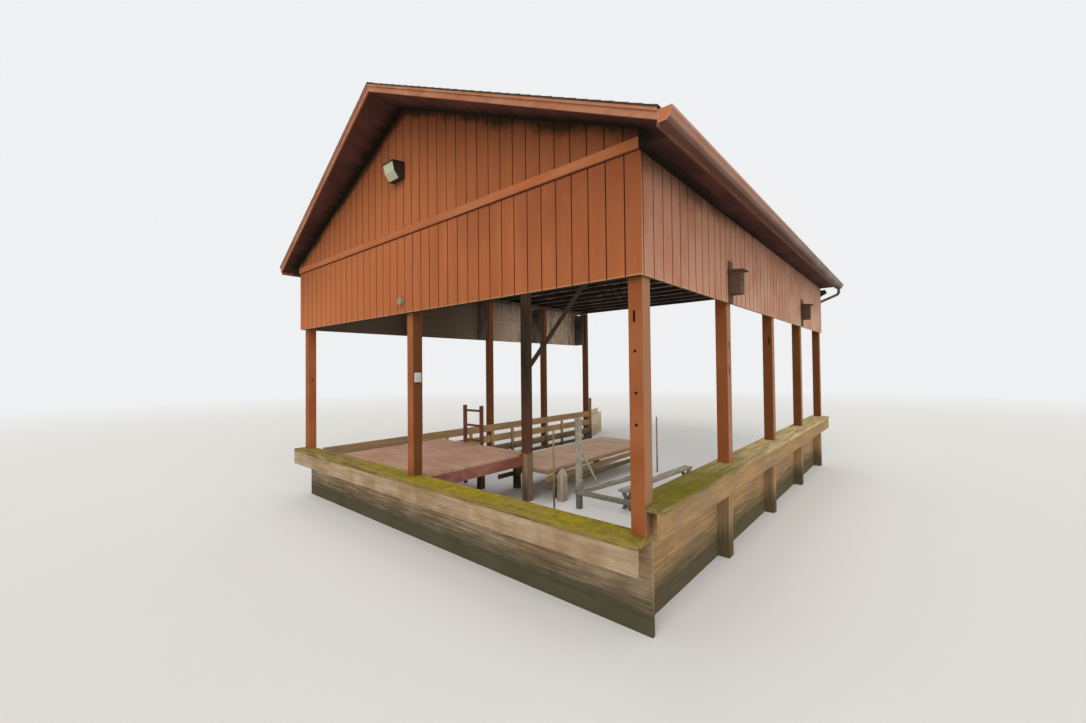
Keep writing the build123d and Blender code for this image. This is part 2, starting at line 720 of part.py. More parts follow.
def nest_box(y, board_low, box_low):
    """A back board on the siding, a box on it and a lid that falls away from the wall."""
    x0 = HALF + THIN
    board_wide, board_tall = NEST_BOARD
    out, wide, tall = NEST_BODY
    top = box_low + tall
    board = block(HALF, x0, y - board_wide / 2, y + board_wide / 2, board_low, board_low + board_tall)
    body = block(x0, x0 + out, y - wide / 2, y + wide / 2, box_low, top)
    section = [(x0, top), (x0 + out + NEST_LID_PAST, top), (x0 + out + NEST_LID_PAST, top + NEST_LID_EDGE),
               (x0, top + NEST_LID_RISE)]
    lid = prism_y(section, y - wide / 2 - THIN, y + wide / 2 + THIN)
    return board + body + lid


def origin_shift():
    x_low = -EAVE_X - SHINGLE_LIP
    x_high = EAVE_X + GUTTER_WIDTH
    y_low = -FRONT_OVERHANG - SHINGLE_LIP - PROW
    y_high = LENGTH + WING_LENGTH * math.cos(math.radians(WING_TURN))
    return Pos(-(x_low + x_high) / 2, -(y_low + y_high) / 2, 0)


def boathouse():
    nodes = {}
    nodes.update(posts())
    nodes["post_plates"] = post_plates()
    nodes["left_post_brackets"] = left_post_brackets()
    nodes["centre_beam"] = centre_beam()
    nodes["knee_brace"] = knee_brace()
    nodes.update(front_wall_frame())
    nodes["front_siding"] = front_siding()
    for side, name in ((-1, "left"), (1, "right")):
        nodes[f"{name}_siding"] = side_siding(side)
        nodes[f"{name}_roof_slope"] = roof_slope(side)
        nodes[f"{name}_rake_boards"] = rake_boards(side)
        nodes[f"{name}_rake_soffits"] = rake_soffits(side)
    nodes["front_gable_siding"] = gable_siding(-SIDING, 0)
    nodes["back_gable_siding"] = gable_siding(LENGTH, LENGTH + SIDING)
    nodes["drip_boards"] = drip_board(-DRIP_BOARD, 0) + drip_board(LENGTH, LENGTH + DRIP_BOARD)
    nodes.update(roof_trusses())
    nodes["ceiling_runners"] = ceiling_runners()
    nodes["side_girts"] = side_girts()
    nodes["side_soffits"] = side_soffits()
    nodes["eave_fascias"] = eave_fascias()
    nodes["right_gutter"] = right_gutter()
    nodes["downspout"] = downspout()
    nodes.update(front_edge())
    nodes.update(right_edge())
    nodes.update(left_edge())
    nodes.update(deck())
    nodes.update(dock())
    nodes["ladder"] = ladder()
    nodes.update(cradle())
    nodes["fender_board"] = fender_board()
    nodes["guide_poles"] = guide_poles()
    nodes.update(fittings())
    return nodes


os.makedirs("parts", exist_ok=True)
shift = origin_shift()
for name, pieces in boathouse().items():
    placed = [shift * piece for piece in pieces]
    export_step(placed[0] if len(placed) == 1 else Compound(children=placed), f"parts/{name}.step")
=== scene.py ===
import math
import random

import bmesh
import bpy
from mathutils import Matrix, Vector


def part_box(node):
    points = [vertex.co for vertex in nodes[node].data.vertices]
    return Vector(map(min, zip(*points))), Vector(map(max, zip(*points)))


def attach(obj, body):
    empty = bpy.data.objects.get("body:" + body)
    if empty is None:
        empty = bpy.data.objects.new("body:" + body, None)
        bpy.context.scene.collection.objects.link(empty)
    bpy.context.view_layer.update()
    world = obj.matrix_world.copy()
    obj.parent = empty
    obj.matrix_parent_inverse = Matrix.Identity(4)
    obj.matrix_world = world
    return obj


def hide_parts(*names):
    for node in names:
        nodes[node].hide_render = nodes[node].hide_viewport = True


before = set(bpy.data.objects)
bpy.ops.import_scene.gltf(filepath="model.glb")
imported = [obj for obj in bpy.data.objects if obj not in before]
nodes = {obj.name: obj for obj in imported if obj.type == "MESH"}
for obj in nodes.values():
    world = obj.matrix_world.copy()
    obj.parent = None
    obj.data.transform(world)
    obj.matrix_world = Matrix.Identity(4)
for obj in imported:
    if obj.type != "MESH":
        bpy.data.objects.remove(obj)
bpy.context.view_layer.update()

# Studio
# A pale floor that fades out into a pale backdrop, a soft sky all round, a wide soft sun from the
# front, a low one from the right and a soft panel under the roof, in place of the light thrown in
# from the open sides. The camera stands near the front right corner, at eye height.
FLOOR_REACH = 260.0
FADE_START = 14.0
FADE_END = 45.0
PALE = (0.86, 0.875, 0.885, 1)
FLOOR_TONE = (0.74, 0.735, 0.72, 1)
SKY_TONE = (1, 0.99, 0.97, 1)
SKY_LIGHT = 0.66
SUN_TONE = (1, 0.975, 0.93)
SUN_SPREAD = math.radians(45)
FRONT_SUN = 1.5
FRONT_SUN_TURN = (math.radians(55), 0, math.radians(20))
SIDE_SUN = 1.25
SIDE_SUN_TURN = (0, math.radians(75), math.radians(-12))
ROOF_PANEL_PLACE = (0.0, -1.0, 4.42)
ROOF_PANEL_SIZE = (6.4, 8.0)
ROOF_PANEL_POWER = 150.0
PHOTO_WIDTH = 1086.0
FOCAL_PIXELS = 439.3
SENSOR = 36.0
EYE_FROM_WALL = (5.697, -3.555, 2.495)
EYE_TURN = math.radians(40.63)
EYE_PITCH = math.radians(0.98)
EYE_ROLL = math.radians(0.584)


def place_node(tree, kind, inputs=None, **settings):
    """Adds a shader node, sets it, and wires or fills its inputs."""
    made = tree.nodes.new(kind)
    for name, value in settings.items():
        setattr(made, name, value)
    for name, value in (inputs or {}).items():
        if isinstance(value, bpy.types.NodeSocket):
            tree.links.new(value, made.inputs[name])
        else:
            made.inputs[name].default_value = value
    return made


def calculate(tree, operation, *values, clamp=False):
    """A maths node's result."""
    inputs = dict(enumerate(values))
    return place_node(tree, "ShaderNodeMath", inputs, operation=operation, use_clamp=clamp).outputs[0]


def times(tree, first, second):
    return calculate(tree, "MULTIPLY", first, second)


def fade(tree, value, low, high, from_level=0.0, to_level=1.0):
    """A value that runs smoothly from one level to another between two limits."""
    inputs = {"Value": value, "From Min": low, "From Max": high, "To Min": from_level, "To Max": to_level}
    return place_node(tree, "ShaderNodeMapRange", inputs, interpolation_type="SMOOTHSTEP").outputs[0]


def place_on_building(tree):
    """The point that is being coloured, in metres, in the frame of the whole building."""
    return place_node(tree, "ShaderNodeTexCoord").outputs["Object"]


def empty_material(name):
    material = bpy.data.materials.new(name)
    material.use_nodes = True
    material.node_tree.nodes.clear()
    return material, material.node_tree


def background_rays(tree):
    """One for the rays that show the background: those of the camera, of gloss and through glass."""
    path = place_node(tree, "ShaderNodeLightPath").outputs
    mirrored = calculate(tree, "MAXIMUM", path["Is Glossy Ray"], path["Is Transmission Ray"])
    return calculate(tree, "MAXIMUM", path["Is Camera Ray"], mirrored)


def set_up(name, data):
    """Puts an object made of this data in the scene."""
    made = bpy.data.objects.new(name, data)
    bpy.context.scene.collection.objects.link(made)
    return made


def build_floor():
    material, tree = empty_material("studio_floor")
    distance = place_node(tree, "ShaderNodeVectorMath", {0: place_on_building(tree)},
                          operation="LENGTH").outputs["Value"]
    far = fade(tree, distance, FADE_START, FADE_END)
    matt = place_node(tree, "ShaderNodeBsdfDiffuse", {"Color": FLOOR_TONE})
    glow = place_node(tree, "ShaderNodeEmission", {"Color": PALE, "Strength": 1.0})
    share = times(tree, far, background_rays(tree))
    mixed = place_node(tree, "ShaderNodeMixShader", {0: share, 1: matt.outputs[0], 2: glow.outputs[0]})
    place_node(tree, "ShaderNodeOutputMaterial", {"Surface": mixed.outputs[0]})
    mesh = bpy.data.meshes.new("studio_floor")
    corners = [(sx * FLOOR_REACH, sy * FLOOR_REACH, 0) for sx, sy in ((-1, -1), (1, -1), (1, 1), (-1, 1))]
    mesh.from_pydata(corners, [], [(0, 1, 2, 3)])
    mesh.materials.append(material)
    set_up("studio_floor", mesh)


def build_sky():
    world = bpy.data.worlds.new("studio_sky")
    world.use_nodes = True
    tree = world.node_tree
    tree.nodes.clear()
    light = place_node(tree, "ShaderNodeBackground", {"Color": SKY_TONE, "Strength": SKY_LIGHT})
    backdrop = place_node(tree, "ShaderNodeBackground", {"Color": PALE, "Strength": 1.0})
    mixed = place_node(tree, "ShaderNodeMixShader",
                       {0: background_rays(tree), 1: light.outputs[0], 2: backdrop.outputs[0]})
    place_node(tree, "ShaderNodeOutputWorld", {"Surface": mixed.outputs[0]})
    bpy.context.scene.world = world


def build_sun(name, strength, turn):
    lamp = bpy.data.lights.new(name, "SUN")
    lamp.energy = strength
    lamp.angle = SUN_SPREAD
    lamp.color = SUN_TONE
    set_up(name, lamp).rotation_euler = turn


def build_roof_panel():
    lamp = bpy.data.lights.new("roof_panel", "AREA")
    lamp.shape = "RECTANGLE"
    lamp.size, lamp.size_y = ROOF_PANEL_SIZE
    lamp.energy = ROOF_PANEL_POWER
    panel = set_up("roof_panel", lamp)
    panel.location = ROOF_PANEL_PLACE
    panel.visible_camera = False
    panel.visible_glossy = False


def build_camera():
    lens = bpy.data.cameras.new("camera")
    lens.sensor_width = SENSOR
    lens.lens = FOCAL_PIXELS / PHOTO_WIDTH * SENSOR
    camera = set_up("camera", lens)
    wall_low, wall_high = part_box("front_siding")
    across, back, up = EYE_FROM_WALL
    camera.location = ((wall_low.x + wall_high.x) / 2 + across, wall_low.y + back, up)
    camera.rotation_euler = (math.radians(90) + EYE_PITCH, EYE_ROLL, EYE_TURN)
    bpy.context.scene.camera = camera


build_floor()
build_sky()
build_sun("front_sun", FRONT_SUN, FRONT_SUN_TURN)
build_sun("side_sun", SIDE_SUN, SIDE_SUN_TURN)
build_roof_panel()
build_camera()
bpy.context.scene.view_settings.view_transform = "Standard"

# Posts
# Square sawn posts, painted red brown like the walls. The front ones stand on the sill, the right
# ones behind them on the cap, and the left ones run down behind their plank wall. Painted shade
# darkens them further under the roof. The paint is dirty at the foot and is worn through to bare
# wood along some edges.
POST_PAINT = (0.26, 0.070, 0.019, 1)
POST_FADED = (0.31, 0.103, 0.036, 1)
POST_GRAIN = (0.2, 0.075, 0.034, 1)
POST_DEEP_SHADE = (0.085, 0.029, 0.006, 1)
POST_FADED_AND_LIT = (0.31, 0.155, 0.085, 1)
POST_SHADED = (0.06, 0.028, 0.009, 1)
BARE_EDGE = (0.42, 0.24, 0.14, 1)
FOOT_DIRT = (0.075, 0.055, 0.026, 1)
DEEP_SHADE_SHARE = 0.85
DEEP_SHADE_FROM = 0.3
DEEP_SHADE_TO = 6.0
SHADED_SHARE = 0.72
FADED_AND_LIT_SHARE = 0.85
DIRT_SHARE = 0.75
DIRT_BELOW = 0.25
CLEAN_ABOVE = 1.15
PAST_ROW = 0.5
ROW_FADE = 1.0
WELD_WITHIN = 0.00005
SHARP_FROM = math.radians(40)


def noise(tree, position, scale, detail, roughness=0.5):
    inputs = {"Vector": position, "Scale": scale, "Detail": detail, "Roughness": roughness}
    return place_node(tree, "ShaderNodeTexNoise", inputs).outputs[0]


def plus(tree, first, second):
    return calculate(tree, "ADD", first, second)


def between(tree, share, first, second):
    """Two colours mixed by a share."""
    return place_node(tree, "ShaderNodeMixRGB", {"Fac": share, "Color1": first, "Color2": second}).outputs[0]


def tint(tree, mask, amount, colour, over):
    """A colour laid over another by some amount of a mask."""
    return between(tree, times(tree, mask, amount), colour, over)


def axes_of(tree, vector):
    return place_node(tree, "ShaderNodeSeparateXYZ", {0: vector}).outputs


def true_normal(tree):
    return place_node(tree, "ShaderNodeNewGeometry").outputs["Normal"]


def shade(tree, colour, roughness, height=None, bump=0.004, shine=0.12):
    """The one shader of a material, with a bump when a height is given. Dull wood is the default."""
    shader = place_node(tree, "ShaderNodeBsdfPrincipled", {"Base Color": colour, "Roughness": roughness})
    shader.inputs["Specular IOR Level"].default_value = shine
    if height is not None:
        relief = place_node(tree, "ShaderNodeBump", {"Height": height, "Distance": bump})
        tree.links.new(relief.outputs["Normal"], shader.inputs["Normal"])
    place_node(tree, "ShaderNodeOutputMaterial", {"Surface": shader.outputs[0]})


def grain_group():
    """Long fibres and soft blotches. Stretch says how fine the pattern is along each axis."""
    tree = bpy.data.node_groups.new("long_grain", "ShaderNodeTree")
    for name in ("Position", "Stretch"):
        tree.interface.new_socket(name, in_out="INPUT", socket_type="NodeSocketVector")
    for name in ("Grain", "Blotch"):
        tree.interface.new_socket(name, in_out="OUTPUT", socket_type="NodeSocketFloat")
    position, stretch = tree.nodes.new("NodeGroupInput").outputs[:2]
    result = tree.nodes.new("NodeGroupOutput")
    stretched = place_node(tree, "ShaderNodeVectorMath", {0: position, 1: stretch}, operation="MULTIPLY")
    fibre = noise(tree, stretched.outputs[0], scale=1.0, detail=7.0, roughness=0.62)
    soft = noise(tree, position, scale=1.7, detail=4.0, roughness=0.6)
    tree.links.new(fade(tree, fibre, 0.30, 0.70), result.inputs["Grain"])
    tree.links.new(fade(tree, soft, 0.36, 0.64), result.inputs["Blotch"])
    return tree


def wear_group():
    """A mask along the outer edges of a timber, broken up by fine noise."""
    tree = bpy.data.node_groups.new("worn_edges", "ShaderNodeTree")
    for name in ("Radius", "Amount"):
        tree.interface.new_socket(name, in_out="INPUT", socket_type="NodeSocketFloat")
    tree.interface.new_socket("Mask", in_out="OUTPUT", socket_type="NodeSocketFloat")
    radius, amount = tree.nodes.new("NodeGroupInput").outputs[:2]
    result = tree.nodes.new("NodeGroupOutput")
    rounded = place_node(tree, "ShaderNodeBevel", {"Radius": radius}, samples=4).outputs[0]
    match = place_node(tree, "ShaderNodeVectorMath", {0: rounded, 1: true_normal(tree)},
                       operation="DOT_PRODUCT").outputs["Value"]
    edge = fade(tree, match, 0.80, 0.995, 1.0, 0.0)
    broken = noise(tree, place_on_building(tree), scale=14.0, detail=6.0)
    chipped = fade(tree, plus(tree, broken, amount), 0.85, 1.15)
    tree.links.new(times(tree, edge, chipped), result.inputs["Mask"])
    return tree


LONG_GRAIN = grain_group()
WORN_EDGES = wear_group()


def grain_of(tree, position, stretch):
    """The two masks of the grain group at one place."""
    made = place_node(tree, "ShaderNodeGroup", node_tree=LONG_GRAIN)
    tree.links.new(position, made.inputs["Position"])
    made.inputs["Stretch"].default_value = stretch
    return made.outputs["Grain"], made.outputs["Blotch"]


def edges_of(tree, radius, amount):
    return place_node(tree, "ShaderNodeGroup", {"Radius": radius, "Amount": amount},
                      node_tree=WORN_EDGES).outputs["Mask"]


def fibres(axis, fine, long):
    """The stretch of grain whose fibres run along one axis."""
    return tuple(long if letter == axis else fine for letter in "XYZ")


def start_finish(name):
    material, tree = empty_material(name)
    return material, tree, place_on_building(tree)


def soften(piece, width):
    """Takes the sharp edges off a sawn piece."""
    weld = piece.modifiers.new("weld", "WELD")
    weld.merge_threshold = WELD_WITHIN
    bevel = piece.modifiers.new("edges", "BEVEL")
    bevel.width = width
    bevel.segments = 2
    bevel.limit_method = "ANGLE"
    bevel.angle_limit = SHARP_FROM


def dress(material, slot, *names, soft_edge=0.0):
    """Gives CAD nodes their finish."""
    for name in names:
        piece = nodes[name]
        piece.data.materials.clear()
        piece.data.materials.append(material)
        if soft_edge:
            soften(piece, soft_edge)


def post_paint():
    """Painted shade, deeper post by post under the roof and on the faces that look to the right."""
    material, tree, spot = start_finish("post_paint")
    axes = axes_of(tree, spot)
    grain, blotch = grain_of(tree, spot, fibres("Z", fine=34, long=1.6))
    colour = between(tree, blotch, POST_PAINT, POST_FADED)
    colour = tint(tree, grain, 0.30, colour, POST_GRAIN)
    first_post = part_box("right_posts")[0].y
    # Painted shade, deeper for each post further back under the roof.
    deeper_shade = fade(tree, axes["Y"], first_post + DEEP_SHADE_FROM, first_post + DEEP_SHADE_TO, 0.0, DEEP_SHADE_SHARE)
    colour = between(tree, deeper_shade, colour, POST_DEEP_SHADE)
    right_face = fade(tree, axes_of(tree, true_normal(tree))["X"], 0.5, 0.9)
    left_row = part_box("left_posts")[1].x
    right_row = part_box("right_posts")[0].x
    shaded = fade(tree, axes["X"], left_row + PAST_ROW, left_row + PAST_ROW + ROW_FADE, 0.0, SHADED_SHARE)
    colour = tint(tree, right_face, shaded, colour, POST_SHADED)
    # On the right row the faces that look to the right are paler: faded paint and painted light.
    bleached = fade(tree, axes["X"], right_row - ROW_FADE, right_row, 0.0, FADED_AND_LIT_SHARE)
    colour = tint(tree, right_face, bleached, colour, POST_FADED_AND_LIT)
    colour = between(tree, edges_of(tree, radius=0.007, amount=0.42), colour, BARE_EDGE)
    foot = fade(tree, axes["Z"], DIRT_BELOW, CLEAN_ABOVE, DIRT_SHARE, 0.0)
    colour = tint(tree, foot, fade(tree, grain, 0.15, 0.8), colour, FOOT_DIRT)
    shade(tree, colour, roughness=fade(tree, blotch, 0, 1, 0.62, 0.78), height=grain, bump=0.0015)
    return material


dress(post_paint(), "painted_posts", "left_posts", "right_posts", "front_middle_post", soft_edge=0.006)

# Inner post, beam and brace
# Old dark timbers at the back corner of the deck: the post under the middle of the roof, the beam
# over it and the slanting brace. Creosote brown, never painted above, with red stain left on the
# lower part of the post and dry bare wood under the deck.
DARK_TIMBER = (0.042, 0.025, 0.012, 1)
DARK_TIMBER_GREY = (0.085, 0.056, 0.032, 1)
DARK_TIMBER_BLOTCH = (0.03, 0.022, 0.017, 1)
STAINED_FOOT = (0.13, 0.05, 0.028, 1)
STAINED_GRAIN = (0.09, 0.045, 0.028, 1)
DRY_FOOT = (0.24, 0.17, 0.105, 1)
STAIN_SHARE = 0.85
STAIN_FULL = 1.3
STAIN_END = 2.5
DRY_SHARE = 0.85
UNDER_DECK = 0.86
DECK_LEVEL = 0.94


def dark_timber():
    material, tree, spot = start_finish("dark_timber")
    grain, blotch = grain_of(tree, spot, fibres("Z", fine=22, long=3.0))
    colour = between(tree, grain, DARK_TIMBER, DARK_TIMBER_GREY)
    colour = tint(tree, blotch, 0.5, colour, DARK_TIMBER_BLOTCH)
    height = axes_of(tree, spot)["Z"]
    foot = fade(tree, height, STAIN_FULL, STAIN_END, STAIN_SHARE, 0.0)
    colour = between(tree, foot, colour, between(tree, grain, STAINED_FOOT, STAINED_GRAIN))
    dry = fade(tree, height, UNDER_DECK, DECK_LEVEL, DRY_SHARE, 0.0)
    colour = tint(tree, dry, fade(tree, grain, 0, 1, 0.6, 1.0), colour, DRY_FOOT)
    shade(tree, colour, roughness=0.85, height=grain, bump=0.003)
    return material


dress(dark_timber(), "dark_timber", "inner_post", "knee_brace", "centre_beam", soft_edge=0.005)

# Framing and trusses
# Sawn softwood that has only ever been dry under the roof: the plates that carry the siding, the
# stud frame behind the front wall, and seventeen trusses, nailed up, with three runners on their
# bottom chords.
FRAMING = (0.22, 0.17, 0.135, 1)
FRAMING_PALE = (0.56, 0.44, 0.35, 1)
FRAMING_BLOTCH = (0.04, 0.032, 0.027, 1)
FRAMING_SHADE = (0.02, 0.016, 0.014, 1)
FRAMING_SIDE_SHADE = (0.014, 0.011, 0.009, 1)


def framing_wood(name, axis, tone, shaded_sides=0.0):
    """Dry framing timber. Painted shade: tone over all faces, shaded sides on all but the undersides."""
    material, tree, spot = start_finish(name)
    grain, blotch = grain_of(tree, spot, fibres(axis, fine=24, long=1.4))
    colour = between(tree, grain, FRAMING, FRAMING_PALE)
    colour = tint(tree, blotch, 0.6, colour, FRAMING_BLOTCH)
    # Painted shade over the whole timber, by the tone share.
    colour = between(tree, tone, colour, FRAMING_SHADE)
    up = axes_of(tree, true_normal(tree))["Z"]
    colour = between(tree, fade(tree, up, -0.9, -0.3, 0.0, shaded_sides), colour, FRAMING_SIDE_SHADE)
    shade(tree, colour, roughness=0.88, height=grain, bump=0.002)
    return material


# Copies of one timber with different shares of painted shade, darkest for the top chords, webs and front
# wall plates; the bottom chords are shaded on all but their undersides.
ALONG_Y = framing_wood("framing_along_y", "Y", tone=0.6)
ALONG_X = framing_wood("framing_along_x", "X", tone=0.95)
CHORD_WOOD = framing_wood("bottom_chord_wood", "X", tone=0.0, shaded_sides=0.9)
UPRIGHT = framing_wood("framing_upright", "Z", tone=0.68)
dress(ALONG_Y, "dark_timber", "post_plates", "ceiling_runners", soft_edge=0.003)
dress(CHORD_WOOD, "dark_timber", "truss_bottom_chords")
dress(ALONG_X, "dark_timber", "left_top_chords", "right_top_chords", "truss_webs", "front_wall_plates")
dress(UPRIGHT, "dark_timber", "front_wall_frame", "left_post_brackets")

# Grooved siding
# Sheets of rough sawn plywood with a square groove every eight inches, nailed to girts and stained
# solid red brown. The front keeps its colour, the right side has bleached, and mildew blackens the
# top under the eaves. Painted light brightens the left side, painted shade darkens the walls near
# the roof line and fills the grooves. Inside, plywood and girts are bare, grey and streaked, with
# painted shade towards the closed front.
GROOVE_PITCH = 0.2032
GROOVE_WIDTH = 0.013
GROOVE_SIDE = 0.0015
GROOVE_DEPTH = 0.007
SIDE_GROOVE_AT = 0.05
PLAIN_FROM = 7.31
ROOF_PITCH = 1.834 / 4.12
FRONT_STAIN = (0.40, 0.122, 0.041, 1)
FRONT_PAINTED_LIGHT = (0.50, 0.165, 0.053, 1)
FRONT_DEEP = (0.25, 0.070, 0.025, 1)
FRONT_PALE = (0.43, 0.15, 0.06, 1)
SIDE_STAIN = (0.42, 0.157, 0.083, 1)
SIDE_DEEP = (0.30, 0.115, 0.063, 1)
SIDE_PALE = (0.49, 0.305, 0.22, 1)
GABLE_PAINTED_SHADE = (0.15, 0.045, 0.018, 1)
MILDEW = (0.022, 0.014, 0.006, 1)
LOWER_EDGE = (0.55, 0.32, 0.16, 1)
SEAM_SHADOW = (0.06, 0.018, 0.009, 1)
GROOVE_BROWN = (0.05, 0.018, 0.009, 1)
GROOVE_BLACK = (0.03, 0.012, 0.006, 1)
BARE_PLY = (0.70, 0.525, 0.40, 1)
BARE_PLY_GRAIN = (0.46, 0.34, 0.245, 1)
PLY_STAIN_AND_SHADE = (0.075, 0.053, 0.034, 1)
WEATHERED_RUN = 6.0
LIGHT_FADE_SHORT = 1.5
GABLE_SHADE_FROM = 0.1
GABLE_SHADE_TO = 1.7
SOAKED_DROP = 0.8
SOAKED_CLEAR = 0.05
SOAKED_SHORT = 0.5
BOARD_LINE = 0.01
CORNER_FROM = 0.03
CORNER_TO = 0.3
SEAM_BELOW = 0.008
SEAM_HALF = 0.007
SEAM_FADE = 0.004
EDGE_TALL = 0.006
EDGE_FADE = 0.008
MILDEW_FULL = 0.02
MILDEW_RAGGED = 0.09
PLY_SHADE_FROM = 3.4
PLY_SHADE_TO = 7.6

front_low, front_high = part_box("front_siding")
gable_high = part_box("front_gable_siding")[1]
drip_low, drip_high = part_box("drip_boards")
RIDGE_LINE = (front_low.x + front_high.x) / 2
FRONT_PLANE = front_low.y
SHEET = front_high.y - front_low.y
EAVE_LEVEL = front_high.z


def minus(tree, first, second):
    return calculate(tree, "SUBTRACT", first, second)


def apart(tree, value, middle):
    """How far a value lies from a middle one, on either side."""
    return calculate(tree, "ABSOLUTE", minus(tree, value, middle))


def stained_ply(name, fresh, deep, pale, pale_shares, mildew_drops):
    """Solid stain on sawn plywood. The shares and drops are those at the front and six metres on."""
    material, tree, spot = start_finish(name)
    axes = axes_of(tree, spot)
    grain, blotch = grain_of(tree, spot, fibres("Z", fine=26, long=1.1))
    streak, cloud = grain_of(tree, spot, fibres("Z", fine=5.2, long=0.55))
    colour = tint(tree, streak, 0.7, fresh, deep)
    colour = tint(tree, grain, 0.25, colour, deep)
    colour = tint(tree, blotch, 0.3, colour, deep)
    bleached = fade(tree, axes["Y"], FRONT_PLANE, FRONT_PLANE + WEATHERED_RUN, *pale_shares)
    colour = tint(tree, fade(tree, plus(tree, cloud, grain), -0.4, 1.6), bleached, colour, pale)
    # Painted light, brighter towards the left side of the building.
    leftward_light = fade(tree, axes["X"], front_low.x, front_high.x - LIGHT_FADE_SHORT, 0.75, 0.0)
    colour = tint(tree, leftward_light, 0.8, colour, FRONT_PAINTED_LIGHT)

    # Painted shade high in the gable and under the eaves, by the drop below the roof line.
    slope = times(tree, apart(tree, axes["X"], RIDGE_LINE), ROOF_PITCH)
    drop = minus(tree, minus(tree, gable_high.z, slope), axes["Z"])
    colour = between(tree, fade(tree, drop, GABLE_SHADE_FROM, GABLE_SHADE_TO, 0.5, 0.0), colour, GABLE_PAINTED_SHADE)

    # Stain soaked in darker under the drip board, towards the right end of the front.
    upward = fade(tree, axes["Z"], drip_low.z - SOAKED_DROP, drip_low.z - SOAKED_CLEAR, 0.0, 0.9)
    below = fade(tree, axes["Z"], drip_low.z, drip_low.z + BOARD_LINE, 1.0, 0.0)
    rightward = fade(tree, axes["X"], RIDGE_LINE, front_high.x - SOAKED_SHORT)
    on_front = fade(tree, axes["Y"], FRONT_PLANE + CORNER_FROM, FRONT_PLANE + CORNER_TO, 1.0, 0.0)
    soaked = times(tree, times(tree, upward, below), times(tree, rightward, on_front))
    colour = tint(tree, soaked, cloud, colour, deep)

    # The shadow line under the drip board, and the bare lower edge of the sheets.
    seam = apart(tree, axes["Z"], drip_low.z - SEAM_BELOW)
    colour = between(tree, fade(tree, seam, SEAM_HALF, SEAM_HALF + SEAM_FADE, 0.9, 0.0), colour, SEAM_SHADOW)
    edge_top = front_low.z + EDGE_TALL
    edge = fade(tree, axes["Z"], edge_top, edge_top + EDGE_FADE, 0.45, 0.0)
    colour = between(tree, edge, colour, LOWER_EDGE)

    # Mildew under the eaves, ending in a ragged line.
    ragged = times(tree, minus(tree, cloud, 0.5), MILDEW_RAGGED)
    reach = fade(tree, axes["Y"], FRONT_PLANE, FRONT_PLANE + WEATHERED_RUN, *mildew_drops)
    black = fade(tree, plus(tree, drop, ragged), MILDEW_FULL, reach, 0.92, 0.0)
    colour = between(tree, black, colour, MILDEW)
    shade(tree, colour, roughness=0.82, height=grain, bump=0.0025)
    return material


# The faces inside the grooves, near black: painted shade in the recesses.
def groove_dark():
    material, tree, spot = start_finish("groove_shadow")
    grain, blotch = grain_of(tree, spot, fibres("Z", fine=8, long=3))
    colour = between(tree, blotch, GROOVE_BROWN, GROOVE_BLACK)
    shade(tree, colour, roughness=0.9, height=grain, bump=0.001)
    return material


def bare_ply():
    """Run stains down the grain, and painted shade that thins out towards the open end."""
    material, tree, spot = start_finish("bare_plywood")
    grain = grain_of(tree, spot, fibres("Z", fine=30, long=1.2))[0]
    run, cloud = grain_of(tree, spot, fibres("Z", fine=13, long=1.6))
    colour = between(tree, grain, BARE_PLY, BARE_PLY_GRAIN)
    stain = times(tree, fade(tree, run, 0.2, 0.75), fade(tree, cloud, 0.0, 0.9, 0.3, 0.75))
    depth = axes_of(tree, spot)["Y"]
    # Painted shade, deepest at the closed front and gone towards the open end.
    front_shade = fade(tree, depth, FRONT_PLANE + PLY_SHADE_FROM, FRONT_PLANE + PLY_SHADE_TO, 0.97, 0.0)
    colour = between(tree, calculate(tree, "MAXIMUM", stain, front_shade), colour, PLY_STAIN_AND_SHADE)
    shade(tree, colour, roughness=0.88, height=grain, bump=0.002)
    return material


GROOVE_MATERIAL = groove_dark()
BARE_MATERIAL = bare_ply()
dress(BARE_MATERIAL, "dark_timber", "side_girts", soft_edge=0.003)
FRONT_MATERIAL = stained_ply("front_stain", FRONT_STAIN, FRONT_DEEP, FRONT_PALE,
                             pale_shares=(0.2, 0.2), mildew_drops=(0.17, 0.17))
SIDE_MATERIAL = stained_ply("side_stain", SIDE_STAIN, SIDE_DEEP, SIDE_PALE,
                            pale_shares=(0.5, 1.0), mildew_drops=(0.54, 0.12))


def finish_piece(name, solid, materials, slot, *replaced):
    """Closes a mesh under construction and puts it on the building."""
    bmesh.ops.recalc_face_normals(solid, faces=solid.faces[:])
    mesh = bpy.data.meshes.new(name)
    solid.to_mesh(mesh)
    solid.free()
    for material in materials:
        mesh.materials.append(material)
    piece = set_up(name, mesh)
    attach(piece, "root")
    if replaced:
        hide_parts(*replaced)
    return piece


def groove_places(start, end, anchor):
    first = math.ceil((start + GROOVE_WIDTH - anchor) / GROOVE_PITCH)
    last = math.floor((end - GROOVE_WIDTH - anchor) / GROOVE_PITCH)
    return [anchor + index * GROOVE_PITCH for index in range(first, last + 1)]


def sheet_top(run, gabled):
    """A gable's sheet follows the roof, the others end level under the eaves."""
    if gabled:
        return gable_high.z - abs(run - RIDGE_LINE) * ROOF_PITCH
    return EAVE_LEVEL


